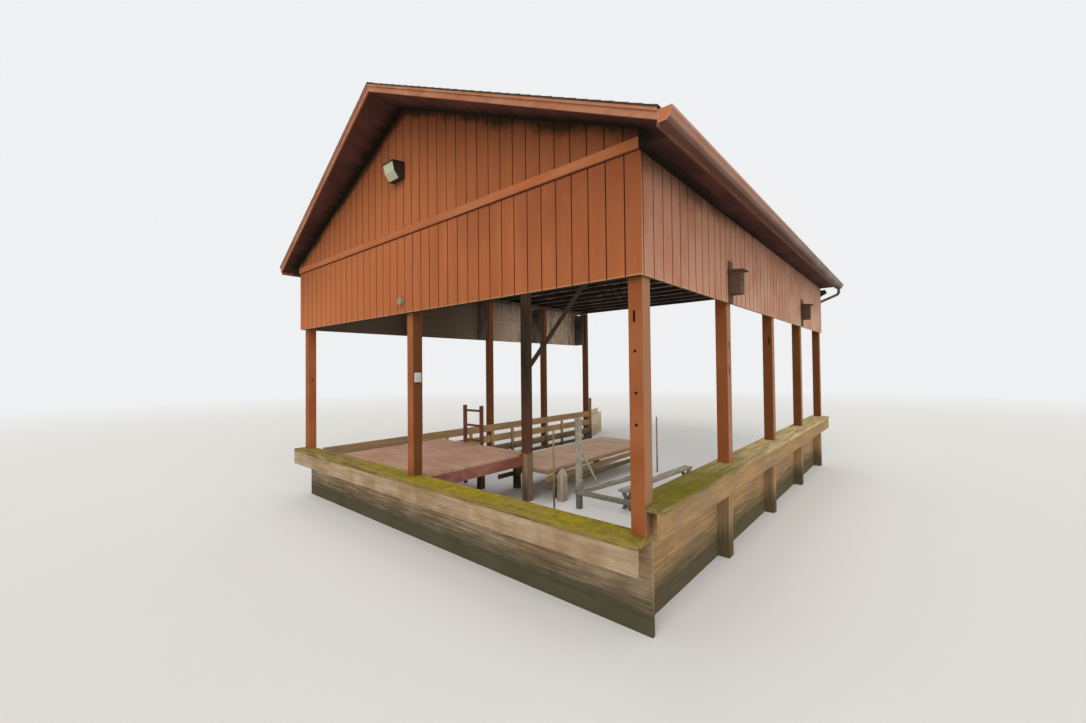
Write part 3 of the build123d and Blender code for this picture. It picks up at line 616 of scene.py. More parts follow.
def grooved_sheet(name, node, stain, along_x=True, inward=1, gabled=False, plain_from=math.inf):
    """A closed sheet for a node, with grooves in its outer face as far as plain_from. It runs along
    X or else Y, and inward is 1 or -1 along the other axis."""
    low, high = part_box(node)
    start, end = (low.x, high.x) if along_x else (low.y, high.y)
    near, far = (low.y, high.y) if along_x else (low.x, high.x)
    outer_face = near if inward > 0 else far
    anchor = RIDGE_LINE if along_x else FRONT_PLANE + SIDE_GROOVE_AT
    half = GROOVE_WIDTH / 2
    sheet = bmesh.new()

    def corner(run, depth, z):
        across = outer_face + inward * depth
        return sheet.verts.new((run, across, z) if along_x else (across, run, z))

    profile = [(start, 0.0, False)]
    for middle in groove_places(start, min(end, plain_from), anchor):
        profile += [(middle - half, 0.0, True), (middle - half + GROOVE_SIDE, GROOVE_DEPTH, True),
                    (middle + half - GROOVE_SIDE, GROOVE_DEPTH, True), (middle + half, 0.0, False)]
    profile.append((end, 0.0, False))
    columns = []
    for run, depth, _ in profile:
        top = sheet_top(run, gabled)
        columns.append([corner(run, depth, low.z), corner(run, depth, top),
                        corner(run, SHEET, low.z), corner(run, SHEET, top)])
    for one, two, (_, _, in_groove) in zip(columns, columns[1:], profile):
        sheet.faces.new((one[0], two[0], two[1], one[1])).material_index = 1 if in_groove else 0
        sheet.faces.new((two[2], one[2], one[3], two[3])).material_index = 2
        sheet.faces.new((one[0], one[2], two[2], two[0]))
        sheet.faces.new((one[1], two[1], two[3], one[3]))
    for edge in (columns[0], columns[-1]):
        sheet.faces.new((edge[0], edge[1], edge[3], edge[2]))
    finish_piece(name, sheet, (stain, GROOVE_MATERIAL, BARE_MATERIAL), "painted_siding", node)


grooved_sheet("front_grooved_siding", "front_siding", FRONT_MATERIAL)
grooved_sheet("front_grooved_gable", "front_gable_siding", FRONT_MATERIAL, gabled=True)
grooved_sheet("back_grooved_gable", "back_gable_siding", FRONT_MATERIAL, inward=-1, gabled=True)
grooved_sheet("right_grooved_siding", "right_siding", SIDE_MATERIAL, along_x=False, inward=-1,
              plain_from=FRONT_PLANE + PLAIN_FROM)
grooved_sheet("left_grooved_siding", "left_siding", SIDE_MATERIAL, along_x=False)

# Drip boards and rake boards
# Plain sawn boards in the same red brown stain, paler in blotches: the board that covers the joint
# between wall and gable, and the sloped boards at the roof's edges, with a thin strip nailed along
# the top of each.
DRIP_PALE = (0.42, 0.15, 0.063, 1)
TRIM_STAIN = (0.36, 0.135, 0.066, 1)
TRIM_PALE = (0.45, 0.21, 0.125, 1)
TRIM_DEEP = (0.19, 0.066, 0.03, 1)
FASCIA_STAIN = (0.17, 0.062, 0.04, 1)
FASCIA_PURPLE = (0.22, 0.095, 0.075, 1)
PROW = 0.30
STRIP_TALL = 0.030
STRIP_PROUD = 0.012


def trim_paint(name, stretch, fresh, pale):
    material, tree, spot = start_finish(name)
    grain, blotch = grain_of(tree, spot, stretch)
    colour = between(tree, blotch, fresh, pale)
    colour = tint(tree, grain, 0.3, colour, TRIM_DEEP)
    colour = between(tree, edges_of(tree, radius=0.006, amount=0.35), colour, BARE_EDGE)
    shade(tree, colour, roughness=0.7, height=grain, bump=0.0015)
    return material


def join_rings(solid, first, second, index=0, end_index=None):
    """A closed solid between two outlines with the same number of corners. The ends may differ."""
    rings = [[solid.verts.new(corner) for corner in ring] for ring in (first, second)]
    count = len(first)
    for step in range(count):
        after = (step + 1) % count
        quad = (rings[0][step], rings[0][after], rings[1][after], rings[1][step])
        solid.faces.new(quad).material_index = index
    for ring in rings:
        solid.faces.new(ring).material_index = index if end_index is None else end_index


def rake_strips():
    low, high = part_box("left_rake_boards")
    reach = RIDGE_LINE - low.x
    solid = bmesh.new()
    for side in (-1, 1):
        for tip, out in ((low.y, -1), (high.y, 1)):
            rings = []
            for run in (0.0, reach):
                x = RIDGE_LINE + side * run
                y0 = tip - out * PROW * run / reach
                y1 = y0 + out * STRIP_PROUD
                top = high.z - run * ROOF_PITCH
                foot = top - STRIP_TALL
                rings.append([(x, y0, foot), (x, y0, top), (x, y1, top), (x, y1, foot)])
            join_rings(solid, *rings)
    finish_piece("rake_strips", solid, (RAKE_MATERIAL,), "painted_trim")


DRIP_MATERIAL = trim_paint("drip_board_stain", fibres("X", fine=26, long=1.4), FRONT_STAIN, DRIP_PALE)
RAKE_MATERIAL = trim_paint("rake_board_stain", fibres("X", fine=26, long=2.0), TRIM_STAIN, TRIM_PALE)
FASCIA_MATERIAL = trim_paint("fascia_stain", fibres("Y", fine=26, long=1.4), FASCIA_STAIN, FASCIA_PURPLE)
dress(DRIP_MATERIAL, "painted_siding", "drip_boards", soft_edge=0.003)
dress(RAKE_MATERIAL, "painted_trim", "left_rake_boards", "right_rake_boards")
dress(FASCIA_MATERIAL, "painted_trim", "eave_fascias")
rake_strips()

# Soffits
# Plywood under the overhangs, stained the same red brown and long gone purple and black with
# mildew, darkest against the walls, where the black is also painted shade. Short boards close the
# ends of the flat eave boxes.
SOFFIT_PURPLE = (0.12, 0.045, 0.036, 1)
SOFFIT_STAIN = (0.075, 0.027, 0.022, 1)
SOFFIT_MILDEW_AND_SHADE = (0.014, 0.010, 0.005, 1)
SOFFIT_RAGGED = 0.10
BLACK_NARROWS_RUN = 7.0
BLACK_NARROWS_BY = 0.12
BROWN_FROM = 0.05
BROWN_TO = 0.20
PURPLE_FROM = 0.15
PURPLE_TO = 0.34


def soffit_stain():
    """Black against the walls, mildew and painted shade, then brown, and purple towards the outer edges."""
    material, tree, spot = start_finish("soffit_stain")
    axes = axes_of(tree, spot)
    grain = grain_of(tree, spot, (12, 12, 12))[0]
    fine, cloud = grain_of(tree, spot, fibres("Y", fine=9.0, long=1.3))
    beside = minus(tree, apart(tree, axes["X"], RIDGE_LINE), front_high.x - RIDGE_LINE)
    before = minus(tree, FRONT_PLANE, axes["Y"])
    behind = minus(tree, axes["Y"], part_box("back_gable_siding")[1].y)
    out = calculate(tree, "MAXIMUM", beside, calculate(tree, "MAXIMUM", before, behind))
    uneven = plus(tree, out, times(tree, minus(tree, fine, 0.5), SOFFIT_RAGGED))
    # The black band of mildew and painted shade narrows further back.
    narrower_black = fade(tree, axes["Y"], FRONT_PLANE, FRONT_PLANE + BLACK_NARROWS_RUN, 0.0, BLACK_NARROWS_BY)
    from_wall = plus(tree, uneven, narrower_black)
    colour = between(tree, fade(tree, from_wall, BROWN_FROM, BROWN_TO), SOFFIT_MILDEW_AND_SHADE, SOFFIT_STAIN)
    purple = fade(tree, from_wall, PURPLE_FROM, PURPLE_TO, 0.0, 0.85)
    colour = between(tree, purple, colour, SOFFIT_PURPLE)
    colour = tint(tree, cloud, 0.4, colour, SOFFIT_MILDEW_AND_SHADE)
    shade(tree, colour, roughness=0.88, height=grain, bump=0.001)
    return material


def eave_ends():
    low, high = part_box("side_soffits")
    slope_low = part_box("left_rake_soffits")[0].z
    reach = high.x - RIDGE_LINE
    wall = front_high.x - RIDGE_LINE
    slope_at_wall = slope_low + (reach - wall) * ROOF_PITCH
    outline = [(wall, low.z), (reach, low.z), (reach, slope_low), (wall, slope_at_wall)]
    solid = bmesh.new()
    for side in (-1, 1):
        for ys in ((drip_low.y, low.y), (high.y, drip_high.y)):
            rings = [[(RIDGE_LINE + side * run, y, z) for run, z in outline] for y in ys]
            join_rings(solid, *rings)
    finish_piece("eave_ends", solid, (SOFFIT_MATERIAL,), "soffit_paint")


SOFFIT_MATERIAL = soffit_stain()
dress(SOFFIT_MATERIAL, "soffit_paint", "left_rake_soffits", "right_rake_soffits", "side_soffits")
eave_ends()

# Shingles
# Three-tab asphalt shingles over board sheathing, laid in courses from the eave up and nailed
# through, with folded caps along the ridge. Granules are brown and grey, and moss sits at the laps.
COURSE = 0.1425
TAB = 0.305
TAB_GAP = 0.007
TAB_SHIFT = 0.006
TAB_SLIP = 0.003
SLIVER = 0.01
SHEATHING = 0.012
LAP_THICK = 0.008
LAP_THIN = 0.002
LAP_SPREAD = 0.001
CAP_LENGTH = 0.145
CAP_REACH = 0.15
CAP_GAP = 0.002
CAP_UNDER = 0.006
CAP_DROPS = (0.002, 0.0005)
ROOF_SEED = 11
GRANULE_BROWN = (0.115, 0.085, 0.065, 1)
GRANULE_GREY = (0.20, 0.185, 0.165, 1)
GRANULE_DARK = (0.05, 0.042, 0.036, 1)
MOSS = (0.055, 0.075, 0.018, 1)
SHEATHING_WOOD = (0.06, 0.045, 0.035, 1)
SHEATHING_DARK = (0.025, 0.02, 0.016, 1)


def tone_of_face(tree):
    """The tone that each tab or board was given."""
    return place_node(tree, "ShaderNodeAttribute", attribute_name="tone").outputs["Fac"]


def shingle_material():
    material, tree, spot = start_finish("asphalt_shingle")
    grit = noise(tree, spot, scale=190.0, detail=2.0)
    grain = grain_of(tree, spot, (1.2, 1.2, 1.2))[0]
    colour = between(tree, tone_of_face(tree), GRANULE_DARK, GRANULE_GREY)
    colour = between(tree, fade(tree, grit, 0.4, 0.62), colour, GRANULE_BROWN)
    colour = tint(tree, fade(tree, grain, 0.55, 0.85), 0.32, colour, MOSS)
    shade(tree, colour, roughness=0.95, height=grit, bump=0.002)
    return material


def sheathing_material():
    material, tree, spot = start_finish("roof_sheathing")
    grain = grain_of(tree, spot, fibres("Y", fine=26, long=1.4))[0]
    colour = between(tree, grain, SHEATHING_WOOD, SHEATHING_DARK)
    shade(tree, colour, roughness=0.9, height=grain, bump=0.002)
    return material


ROOF_MATERIALS = (shingle_material(), sheathing_material())


def roof_half(side, name, node):
    """One slope: the sheathing, then every tab of every course, clipped to the prow shaped ends."""
    low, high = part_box(node)
    eave = max(abs(low.x - RIDGE_LINE), abs(high.x - RIDGE_LINE))
    cosine = math.cos(math.atan(ROOF_PITCH))
    skin = (high.z - low.z - eave * ROOF_PITCH) * cosine
    rng = random.Random(ROOF_SEED + side)
    roof = bmesh.new()
    tone = roof.faces.layers.float.new("tone")

    def point(run, y, lift):
        """A point a run from the ridge line on the plan, at a lift over the sheathing's underside."""
        ends = PROW * (1 - run / eave)
        y_here = min(max(y, low.y + PROW - ends), high.y - PROW + ends)
        z = low.z + (eave - run) * ROOF_PITCH + lift / cosine
        return roof.verts.new((RIDGE_LINE + side * run, y_here, z))

    def slab(runs, ys, lifts, value, index=0):
        """A closed wedge between two runs and two ys. lifts are under and over, outer then inner."""
        a, b, c, d = [(point(run, y, under), point(run, y, over))
                      for run, (under, over) in zip(runs, lifts) for y in ys]
        rings = ((a[0], b[0], d[0], c[0]), (a[1], c[1], d[1], b[1]), (a[0], a[1], b[1], b[0]),
                 (c[0], d[0], d[1], c[1]), (a[0], c[0], c[1], a[1]), (b[0], b[1], d[1], d[0]))
        for ring in rings:
            face = roof.faces.new(ring)
            face.material_index = index
            face[tone] = value

    slab((eave, 0.0), (low.y - 1, high.y + 1), ((0, SHEATHING), (0, SHEATHING)), value=0.3, index=1)
    step = COURSE * cosine
    for course in range(math.ceil(eave / step)):
        outer = eave - course * step
        inner = max(outer - step, 0.0)
        prow_here = PROW * (1 - inner / eave)
        start = low.y - (course % 2) * TAB / 2 - rng.uniform(-TAB_SHIFT, TAB_SHIFT)
        for index in range(math.ceil((high.y - start) / TAB)):
            y0 = start + index * TAB + TAB_GAP / 2
            y1 = y0 + TAB - TAB_GAP
            if y1 < low.y + PROW - prow_here + SLIVER or y0 > high.y - PROW + prow_here - SLIVER:
                continue
            run = min(outer + rng.uniform(-TAB_SLIP, TAB_SLIP), eave)
            lift = LAP_THICK + rng.uniform(-LAP_SPREAD, LAP_SPREAD)
            lifts = ((SHEATHING, SHEATHING + lift), (SHEATHING, SHEATHING + LAP_THIN))
            slab((run, inner), (y0, y1), lifts, rng.random())
    for index in range(math.ceil((high.y - low.y) / CAP_LENGTH)):
        y0 = low.y + index * CAP_LENGTH
        y1 = min(y0 + CAP_LENGTH, high.y)
        lifts = [(skin - CAP_UNDER, skin - drop) for drop in CAP_DROPS]
        slab((CAP_REACH, 0.0), (y0 + CAP_GAP, y1), lifts, rng.random())
    finish_piece(name, roof, ROOF_MATERIALS, "shingle", node)


roof_half(-1, "left_shingles", "left_roof_slope")
roof_half(1, "right_shingles", "right_roof_slope")

# Gutter and downspout
# Brown enamelled aluminium trough on the right eave with a round outlet pipe at its far end. The
# enamel has chalked, painted shade darkens the belly and a painted highlight brightens the edges.
ENAMEL = (0.33, 0.15, 0.09, 1)
ENAMEL_FAR = (0.13, 0.085, 0.06, 1)
ENAMEL_CHALK = (0.40, 0.25, 0.18, 1)
ENAMEL_CAP = (0.42, 0.13, 0.05, 1)
ENAMEL_BELLY_SHADE = (0.07, 0.028, 0.018, 1)
ENAMEL_EDGE_HIGHLIGHT = (0.72, 0.50, 0.37, 1)
ENAMEL_RUN = 8.0
BELLY_SHADE_FULL = 0.01
BELLY_CLEAR = 0.005
END_CAP_BEFORE = 0.25
END_CAP_FADE = 0.008


def enamel():
    material, tree, spot = start_finish("brown_enamel")
    axes = axes_of(tree, spot)
    grain, blotch = grain_of(tree, spot, fibres("Y", fine=6, long=1.1))
    far = fade(tree, axes["Y"], FRONT_PLANE, FRONT_PLANE + ENAMEL_RUN)
    colour = tint(tree, grain, 0.35, between(tree, far, ENAMEL, ENAMEL_FAR), ENAMEL_CHALK)
    low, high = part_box("right_gutter")
    middle = (low.z + high.z) / 2
    # Painted shade over the lower half of the trough and all below it.
    belly_shade = fade(tree, axes["Z"], low.z + BELLY_SHADE_FULL, middle + BELLY_CLEAR, 0.8, 0.0)
    colour = between(tree, belly_shade, colour, ENAMEL_BELLY_SHADE)
    cap_line = FRONT_PLANE - END_CAP_BEFORE
    end_cap = fade(tree, axes["Y"], cap_line - END_CAP_FADE, cap_line, 1.0, 0.0)
    colour = between(tree, end_cap, colour, ENAMEL_CAP)
    # A painted highlight along the edges.
    colour = between(tree, edges_of(tree, radius=0.006, amount=0.75), colour, ENAMEL_EDGE_HIGHLIGHT)
    roughness = fade(tree, blotch, 0, 1, 0.45, 0.62)
    shade(tree, colour, roughness, height=grain, bump=0.0006, shine=0.3)
    return material


dress(enamel(), "brown_metal", "right_gutter", "downspout")
for polygon in nodes["downspout"].data.polygons:
    polygon.use_smooth = True

# Sill and cap
# Wide planks laid flat on the front wall of the slip and along its right side. They never dry,
# so yellow green moss covers most of the top and the wood between is soft, grey and brown.
MOSS_YELLOW = (0.37, 0.265, 0.022, 1)
MOSS_GREEN = (0.18, 0.155, 0.012, 1)
MOSS_SHADE = (0.065, 0.075, 0.006, 1)
SODDEN_WOOD = (0.32, 0.22, 0.085, 1)
SODDEN_DARK = (0.09, 0.07, 0.035, 1)
DRY_WOOD = (0.58, 0.46, 0.26, 1)
MOSS_DEEP = 0.012
MOSSY_PAST_RIDGE = 1.0
MOSSY_RUN = 5.0


def mossy_wood(name, axis, span, covers, shaded, dry):
    """Soft wood under moss. Covers are its shares at both ends of the span, dry how pale the wood ends."""
    material, tree, spot = start_finish(name)
    grain, blotch = grain_of(tree, spot, fibres(axis, fine=22, long=1.6))
    tufts = noise(tree, spot, scale=9.0, detail=9.0, roughness=0.72)
    along = axes_of(tree, spot)[axis]
    wood = between(tree, grain, SODDEN_DARK, SODDEN_WOOD)
    dry_wood = between(tree, grain, SODDEN_WOOD, DRY_WOOD)
    wood = between(tree, fade(tree, along, *span, 0.0, dry), wood, dry_wood)
    green = between(tree, fade(tree, tufts, 0.35, 0.68), MOSS_GREEN, MOSS_YELLOW)
    green = between(tree, shaded, green, MOSS_SHADE)
    upward = fade(tree, axes_of(tree, true_normal(tree))["Z"], 0.0, 0.9, 0.35, 1.0)
    share = plus(tree, times(tree, blotch, 0.5), fade(tree, along, *span, *covers))
    share = times(tree, share, fade(tree, tufts, 0.28, 0.5, 0.35, 1.0))
    share = calculate(tree, "MULTIPLY", share, upward, clamp=True)
    relief = plus(tree, times(tree, tufts, share), times(tree, grain, 0.3))
    shade(tree, between(tree, share, wood, green), roughness=0.96, height=relief, bump=MOSS_DEEP)
    return material


SILL_MATERIAL = mossy_wood("mossy_sill", "X", span=(front_low.x, RIDGE_LINE + MOSSY_PAST_RIDGE),
                           covers=(0.0, 0.66), shaded=0.0, dry=0.0)
CAP_MATERIAL = mossy_wood("mossy_cap", "Y", span=(FRONT_PLANE, FRONT_PLANE + MOSSY_RUN),
                          covers=(0.6, -0.4), shaded=0.6, dry=0.9)
dress(SILL_MATERIAL, "mossy_timber", "front_sill", soft_edge=0.007)
dress(CAP_MATERIAL, "mossy_timber", "right_cap", soft_edge=0.007)

# Plank walls of the slip
# Treated planks on edge against driven piles, grey and tan where dry and green to black where they
# stand wet. The left wall has open gaps, and pale lapped boards turn its far end. The plank bolted
# beside the inner post is of the same wood.
WALL_TAN = (0.42, 0.245, 0.10, 1)
WALL_GREY = (0.31, 0.20, 0.105, 1)
WALL_GRAIN = (0.11, 0.088, 0.06, 1)
WALL_EDGE = (0.41, 0.32, 0.21, 1)
FRONT_WALL_TAN = (0.46, 0.34, 0.22, 1)
WING_PALE = (0.74, 0.62, 0.42, 1)
WING_TAN = (0.62, 0.50, 0.34, 1)
WET_STAIN = (0.045, 0.045, 0.026, 1)
WET_BELOW = 0.12
DRY_ABOVE = 0.52
WET_RAGGED = 0.12


def wall_wood(name, stretch, first, second, wet_share):
    material, tree, spot = start_finish(name)
    grain, blotch = grain_of(tree, spot, stretch)
    colour = between(tree, blotch, first, second)
    colour = tint(tree, grain, 0.45, colour, WALL_GRAIN)
    colour = between(tree, edges_of(tree, radius=0.006, amount=0.35), colour, WALL_EDGE)
    level = plus(tree, axes_of(tree, spot)["Z"], times(tree, grain, -WET_RAGGED))
    colour = between(tree, fade(tree, level, WET_BELOW, DRY_ABOVE, wet_share, 0.0), colour, WET_STAIN)
    shade(tree, colour, roughness=0.88, height=grain, bump=0.004)
    return material


PLANK_ALONG_X = wall_wood("wall_planks_along_x", fibres("X", fine=26, long=1.5), FRONT_WALL_TAN, WALL_GREY,
                          wet_share=0.9)
PLANK_ALONG_Y = wall_wood("wall_planks_along_y", fibres("Y", fine=26, long=1.5), WALL_TAN, WALL_GREY,
                          wet_share=0.85)
PILE_UPRIGHT = wall_wood("piles_upright", fibres("Z", fine=26, long=1.5), WALL_TAN, WALL_GREY,
                         wet_share=0.85)
WING_WOOD = wall_wood("wing_boards", fibres("Y", fine=26, long=1.5), WING_PALE, WING_TAN, wet_share=0.4)
dress(PLANK_ALONG_X, "weathered_timber", "front_bulkhead", soft_edge=0.004)
dress(PLANK_ALONG_Y, "weathered_timber", "right_bulkhead", "left_bulkhead", soft_edge=0.004)
dress(PILE_UPRIGHT, "weathered_timber", "right_bulkhead_piles", "left_bulkhead_uprights",
      "inner_sister_board", soft_edge=0.004)
dress(WING_WOOD, "weathered_timber", "left_wing_wall", soft_edge=0.003)

# Deck and finger dock
# Planks nailed across joists with narrow gaps, stained dark red once and now worn to pinkish
# brown, with crumbs of dirt caught on them. The dock lies a step lower and runs out into the slip,
# and the ladder stands on the deck's back edge.
DECK_BOARD = 0.14
DECK_GAP = 0.006
BOARD_END_SPREAD = 0.006
BOARD_SINK = 0.002
POST_CLEAR = 0.003
DECK_WORN = (0.47, 0.26, 0.17, 1)
DECK_RED = (0.36, 0.165, 0.11, 1)
DECK_GREY = (0.52, 0.37, 0.265, 1)
DECK_GRAIN = (0.13, 0.07, 0.05, 1)
DECK_EDGE = (0.45, 0.35, 0.27, 1)
DOCK_WORN = (0.50, 0.35, 0.24, 1)
RIM_RED = (0.21, 0.075, 0.055, 1)
RIM_WORN = (0.30, 0.125, 0.09, 1)
RIM_GRAIN = (0.08, 0.04, 0.03, 1)
LADDER_RED = (0.11, 0.04, 0.025, 1)
LADDER_WORN = (0.17, 0.075, 0.048, 1)
CRUMBS = (0.10, 0.065, 0.035, 1)


def deck_stain(name, worn, grey_share):
    material, tree, spot = start_finish(name)
    grain, blotch = grain_of(tree, spot, fibres("X", fine=24, long=1.5))
    colour = tint(tree, tone_of_face(tree), 0.5, worn, DECK_RED)
    colour = tint(tree, blotch, grey_share, colour, DECK_GREY)
    colour = tint(tree, grain, 0.4, colour, DECK_GRAIN)
    crumbs = fade(tree, noise(tree, spot, scale=34.0, detail=3.0), 0.62, 0.70)
    colour = tint(tree, crumbs, 0.8, colour, CRUMBS)
    colour = between(tree, edges_of(tree, radius=0.004, amount=0.3), colour, DECK_EDGE)
    shade(tree, colour, roughness=0.8, height=grain, bump=0.003)
    return material


def rim_stain():
    material, tree, spot = start_finish("deck_rim_stain")
    grain, blotch = grain_of(tree, spot, fibres("Y", fine=22, long=1.6))
    colour = tint(tree, grain, 0.35, between(tree, blotch, RIM_RED, RIM_WORN), RIM_GRAIN)
    shade(tree, colour, roughness=0.8, height=grain, bump=0.002)
    return material


DECK_MATERIAL = deck_stain("deck_stain", DECK_WORN, grey_share=0.45)
DOCK_MATERIAL = deck_stain("dock_stain", DOCK_WORN, grey_share=0.75)
LADDER_MATERIAL = trim_paint("ladder_stain", fibres("Z", fine=22, long=1.6), LADDER_RED, LADDER_WORN)


def add_board(solid, tone, low, high, value):
    """A plain board with a tone of its own."""
    a, b, c, d, e, f, g, h = [solid.verts.new((x, y, z)) for x in (low[0], high[0])
                              for y in (low[1], high[1]) for z in (low[2], high[2])]
    for ring in ((a, b, d, c), (e, g, h, f), (a, e, f, b), (c, d, h, g), (a, c, g, e), (b, f, h, d)):
        solid.faces.new(ring)[tone] = value


def planked(name, node, material, seed, notch=None):
    """Boards across X over a slab's whole length. Past the notch's y they stop short, at its x."""
    low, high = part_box(node)
    rng = random.Random(seed)
    count = round((high.y - low.y) / DECK_BOARD)
    step = (high.y - low.y) / count
    solid = bmesh.new()
    tone = solid.faces.layers.float.new("tone")
    for index in range(count):
        y0 = low.y + index * step + DECK_GAP / 2
        y1 = y0 + step - DECK_GAP
        x0 = low.x + rng.uniform(0, BOARD_END_SPREAD)
        x1 = high.x - rng.uniform(0, BOARD_END_SPREAD)
        if notch and y1 > notch[1]:
            x1 = notch[0]
        top = high.z - rng.uniform(0, BOARD_SINK)
        add_board(solid, tone, (x0, y0, low.z), (x1, y1, top), rng.random())
    soften(finish_piece(name, solid, (material,), "deck_stain", node), width=0.004)


inner_post_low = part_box("inner_post")[0]
planked("deck_planks", "deck_boards", DECK_MATERIAL, seed=5,
        notch=(inner_post_low.x - POST_CLEAR, inner_post_low.y))
planked("dock_planks", "dock_boards", DOCK_MATERIAL, seed=8)
dress(rim_stain(), "deck_stain", "deck_ledgers", "deck_joists", soft_edge=0.003)
dress(PLANK_ALONG_Y, "weathered_timber", "dock_stringers", "dock_joists", soft_edge=0.003)
dress(PILE_UPRIGHT, "weathered_timber", "deck_piles", "dock_piles", soft_edge=0.005)
dress(LADDER_MATERIAL, "deck_stain", "ladder", soft_edge=0.005)

# Cradle, fender and poles
# Timbers standing in the slip: the nailed up frame of the cradle, a square post with a pointed
# head against the dock's side, and two round poles. All bare softwood, grey and pale with age.
CRADLE_GREY = (0.40, 0.36, 0.29, 1)
CRADLE_PALE = (0.52, 0.46, 0.37, 1)
BUNK_GREY = (0.42, 0.38, 0.31, 1)
BUNK_PALE = (0.54, 0.48, 0.39, 1)
FENDER_TAN = (0.52, 0.42, 0.30, 1)
FENDER_PALE = (0.60, 0.51, 0.39, 1)
CRADLE_MATERIAL = wall_wood("cradle_grey", (22, 22, 22), CRADLE_GREY, CRADLE_PALE, wet_share=0.7)
BUNK_MATERIAL = wall_wood("cradle_bunk_grey", fibres("Y", fine=22, long=2), BUNK_GREY, BUNK_PALE,
                          wet_share=0.5)
FENDER_MATERIAL = wall_wood("fender_tan", fibres("Z", fine=22, long=2), FENDER_TAN, FENDER_PALE,
                            wet_share=0.35)
dress(CRADLE_MATERIAL, "weathered_timber", "cradle_uprights", "cradle_cross_beams", soft_edge=0.004)
dress(BUNK_MATERIAL, "weathered_timber", "cradle_bunks", soft_edge=0.004)
dress(FENDER_MATERIAL, "weathered_timber", "fender_board", soft_edge=0.004)
dress(PILE_UPRIGHT, "weathered_timber", "guide_poles")

# Lamps, outlet and nest boxes
# Small things screwed to the walls and posts: a wall pack lamp in the gable, a bare lamp holder
# over the opening, a flood lamp at the far corner, a grey outlet box and two nest boxes.
BRONZE = (0.018, 0.013, 0.009, 1)
BOX_GREY = (0.50, 0.50, 0.47, 1)
HOLDER_BROWN = (0.26, 0.21, 0.16, 1)
LAMP_DIRT = (0.12, 0.09, 0.06, 1)
GLASS_TONE = (0.50, 0.52, 0.35, 1)
GLASS_SHADE = (0.15, 0.16, 0.085, 1)
GLASS_DIRT = (0.36, 0.33, 0.2, 1)
GLASS_RIB = 0.02
GLASS_INSET = 0.016
GLASS_LEAN = 0.03
GLASS_FOOT = 0.012
HOUSING_DEEP = 0.095
HOUSING_FOOT = 0.02
CHIN_SHARE = 0.3
HOOD_THICK = 0.014
HOOD_BACK = 0.01
HOOD_FRONT = 0.03
LAMP_DROP = 0.065


def lamp_metal(name, colour, dirt=0.4, shine=0.4):
    material, tree, spot = start_finish(name)
    grain, blotch = grain_of(tree, spot, (30, 30, 30))
    dirty = tint(tree, blotch, dirt, colour, LAMP_DIRT)
    shade(tree, dirty, roughness=0.5, height=grain, bump=0.0006, shine=shine)
    return material


def lamp_glass():
    """Ribbed glass gone matt and greenish, with painted shade along its ribs."""
    material, tree, spot = start_finish("lamp_glass")
    rib = calculate(tree, "SINE", times(tree, axes_of(tree, spot)["X"], 2 * math.pi / GLASS_RIB))
    blotch = grain_of(tree, spot, (9, 9, 9))[1]
    colour = between(tree, fade(tree, rib, -1, 1, 0.0, 0.35), GLASS_TONE, GLASS_SHADE)
    dirty = tint(tree, blotch, 0.3, colour, GLASS_DIRT)
    shade(tree, dirty, roughness=0.25, height=rib, bump=0.0008, shine=0.5)
    return material


BRONZE_MATERIAL = lamp_metal("bronze_paint", BRONZE, dirt=0.15, shine=0.2)
GLASS_MATERIAL = lamp_glass()


def add_profile(solid, x0, x1, outline, index=0, end_index=None):
    """A solid with one outline of (y, z) points, from x0 to x1."""
    join_rings(solid, *[[(x, y, z) for y, z in outline] for x in (x0, x1)], index, end_index)


def gable_lamp():
    """A wall lamp: a housing with a sloped foot on the siding, a hood over it and a glass in front."""
    low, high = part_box("wall_light")
    face = high.y - HOUSING_DEEP
    top = high.z - LAMP_DROP
    back, front = top - HOOD_BACK, top - HOOD_FRONT
    chin = low.z + (high.z - low.z) * CHIN_SHARE
    lamp = bmesh.new()
    housing = [(high.y, low.z + HOUSING_FOOT), (high.y, top), (face, back), (face, low.z)]
    add_profile(lamp, low.x, high.x, housing)
    hood = [(face, back), (low.y, front), (low.y, front - HOOD_THICK), (face, back - HOOD_THICK)]
    add_profile(lamp, low.x, high.x, hood)
    glass = [(face, back - HOOD_THICK), (low.y + GLASS_INSET, front - HOOD_THICK),
             (low.y + GLASS_INSET + GLASS_LEAN, chin), (face, low.z + GLASS_FOOT)]
    add_profile(lamp, low.x + GLASS_INSET, high.x - GLASS_INSET, glass, 1, 0)
    finish_piece("gable_lamp", lamp, (BRONZE_MATERIAL, GLASS_MATERIAL), "brown_metal", "wall_light")


gable_lamp()
dress(BRONZE_MATERIAL, "brown_metal", "corner_flood_light")
dress(lamp_metal("dull_lamp_holder", HOLDER_BROWN), "grey_metal", "lamp_holder")
dress(lamp_metal("grey_box", BOX_GREY), "grey_metal", "outlet_box", soft_edge=0.004)
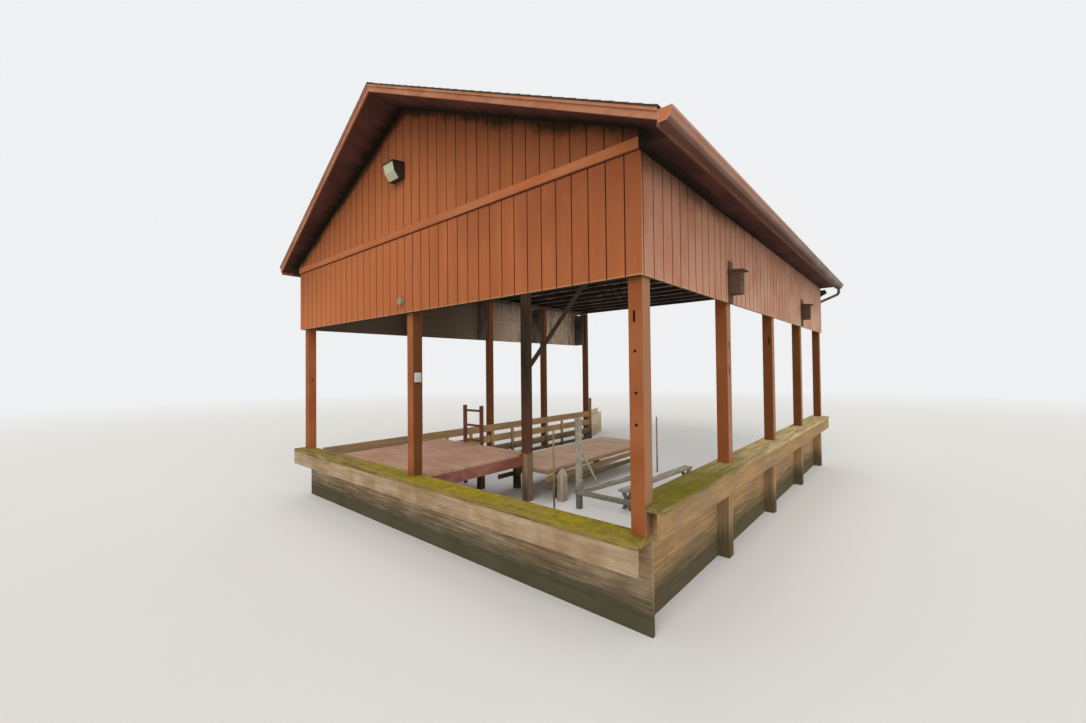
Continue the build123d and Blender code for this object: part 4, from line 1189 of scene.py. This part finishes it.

# Nest holes and post marks
# The round way in at the front of each nest box, and the slots cut in the posts and the heads of
# bolts driven through them, on the faces that are seen from the front. The holes and slots are thin
# black pieces, painted shade where there is an opening. Places are measured from the ridge line and
# the front siding, in the order across, back and up.
NEST_DARK = (0.06, 0.032, 0.018, 1)
NEST_BROWN = (0.10, 0.058, 0.036, 1)
HOLE_SHADE_AND_BOLT_BLACK = (0.008, 0.006, 0.004, 1)
HOLE_SIZE = 0.038
HOLE_CORNERS = 16
HOLE_PROUD = 0.0012
LID_OVERHANG = 0.05
NEST_HOLES = ((2.42, 3.62), (7.05, 3.66))
SLOT_WIDE = 0.021
FRONT_SLOTS = ((3.696, 0.08, 2.92, 3.03), (-3.441, 0.08, 2.28, 2.37), (3.738, 4.699, 2.88, 3.0))
SIDE_SLOTS = ((2.455, 2.73, 2.84), (2.45, 2.40, 2.51))
BOLT_HEAD = 0.022
BOLT_PROUD = 0.006
BOLTS = ((3.701, 2.653), (3.705, 2.265), (3.706, 1.971))


# Near black: painted shade for the holes and slots, and the dark colour of the bolt heads.
def hole_shade_and_bolt_black():
    material, tree = empty_material("painted_hole_shade_and_bolts")
    shade(tree, HOLE_SHADE_AND_BOLT_BLACK, roughness=0.95, shine=0.0)
    return material


HOLE_SHADE_AND_BOLT_MATERIAL = hole_shade_and_bolt_black()
NEST_MATERIAL = wall_wood("nest_wood", fibres("Z", fine=26, long=2), NEST_DARK, NEST_BROWN, wet_share=0.0)


def nest_holes():
    holes = bmesh.new()
    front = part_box("nest_boxes")[1].x - LID_OVERHANG
    turns = [step * 2 * math.pi / HOLE_CORNERS for step in range(HOLE_CORNERS)]
    for y, z in NEST_HOLES:
        ring = [(FRONT_PLANE + y + HOLE_SIZE / 2 * math.cos(turn), z + HOLE_SIZE / 2 * math.sin(turn))
                for turn in turns]
        add_profile(holes, front - HOLE_PROUD, front + HOLE_PROUD, ring)
    finish_piece("nest_holes", holes, (HOLE_SHADE_AND_BOLT_MATERIAL,), "weathered_timber")


def flat_mark(solid, xs, ys, zs):
    add_profile(solid, *xs, [(ys[0], zs[0]), (ys[1], zs[0]), (ys[1], zs[1]), (ys[0], zs[1])])


def about(middle, half):
    return middle - half, middle + half


def post_marks():
    low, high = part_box("right_posts")
    marks = bmesh.new()
    for x, y, z0, z1 in FRONT_SLOTS:
        flat_mark(marks, about(RIDGE_LINE + x, SLOT_WIDE / 2), about(FRONT_PLANE + y, HOLE_PROUD), (z0, z1))
    for y, z0, z1 in SIDE_SLOTS:
        flat_mark(marks, about(high.x, HOLE_PROUD), about(FRONT_PLANE + y, SLOT_WIDE / 2), (z0, z1))
    for x, z in BOLTS:
        depth = (low.y - BOLT_PROUD, low.y + HOLE_PROUD)
        flat_mark(marks, about(RIDGE_LINE + x, BOLT_HEAD / 2), depth, about(z, BOLT_HEAD / 2))
    finish_piece("post_marks", marks, (HOLE_SHADE_AND_BOLT_MATERIAL,), "painted_posts")


nest_holes()
post_marks()
dress(NEST_MATERIAL, "weathered_timber", "nest_boxes", soft_edge=0.002)
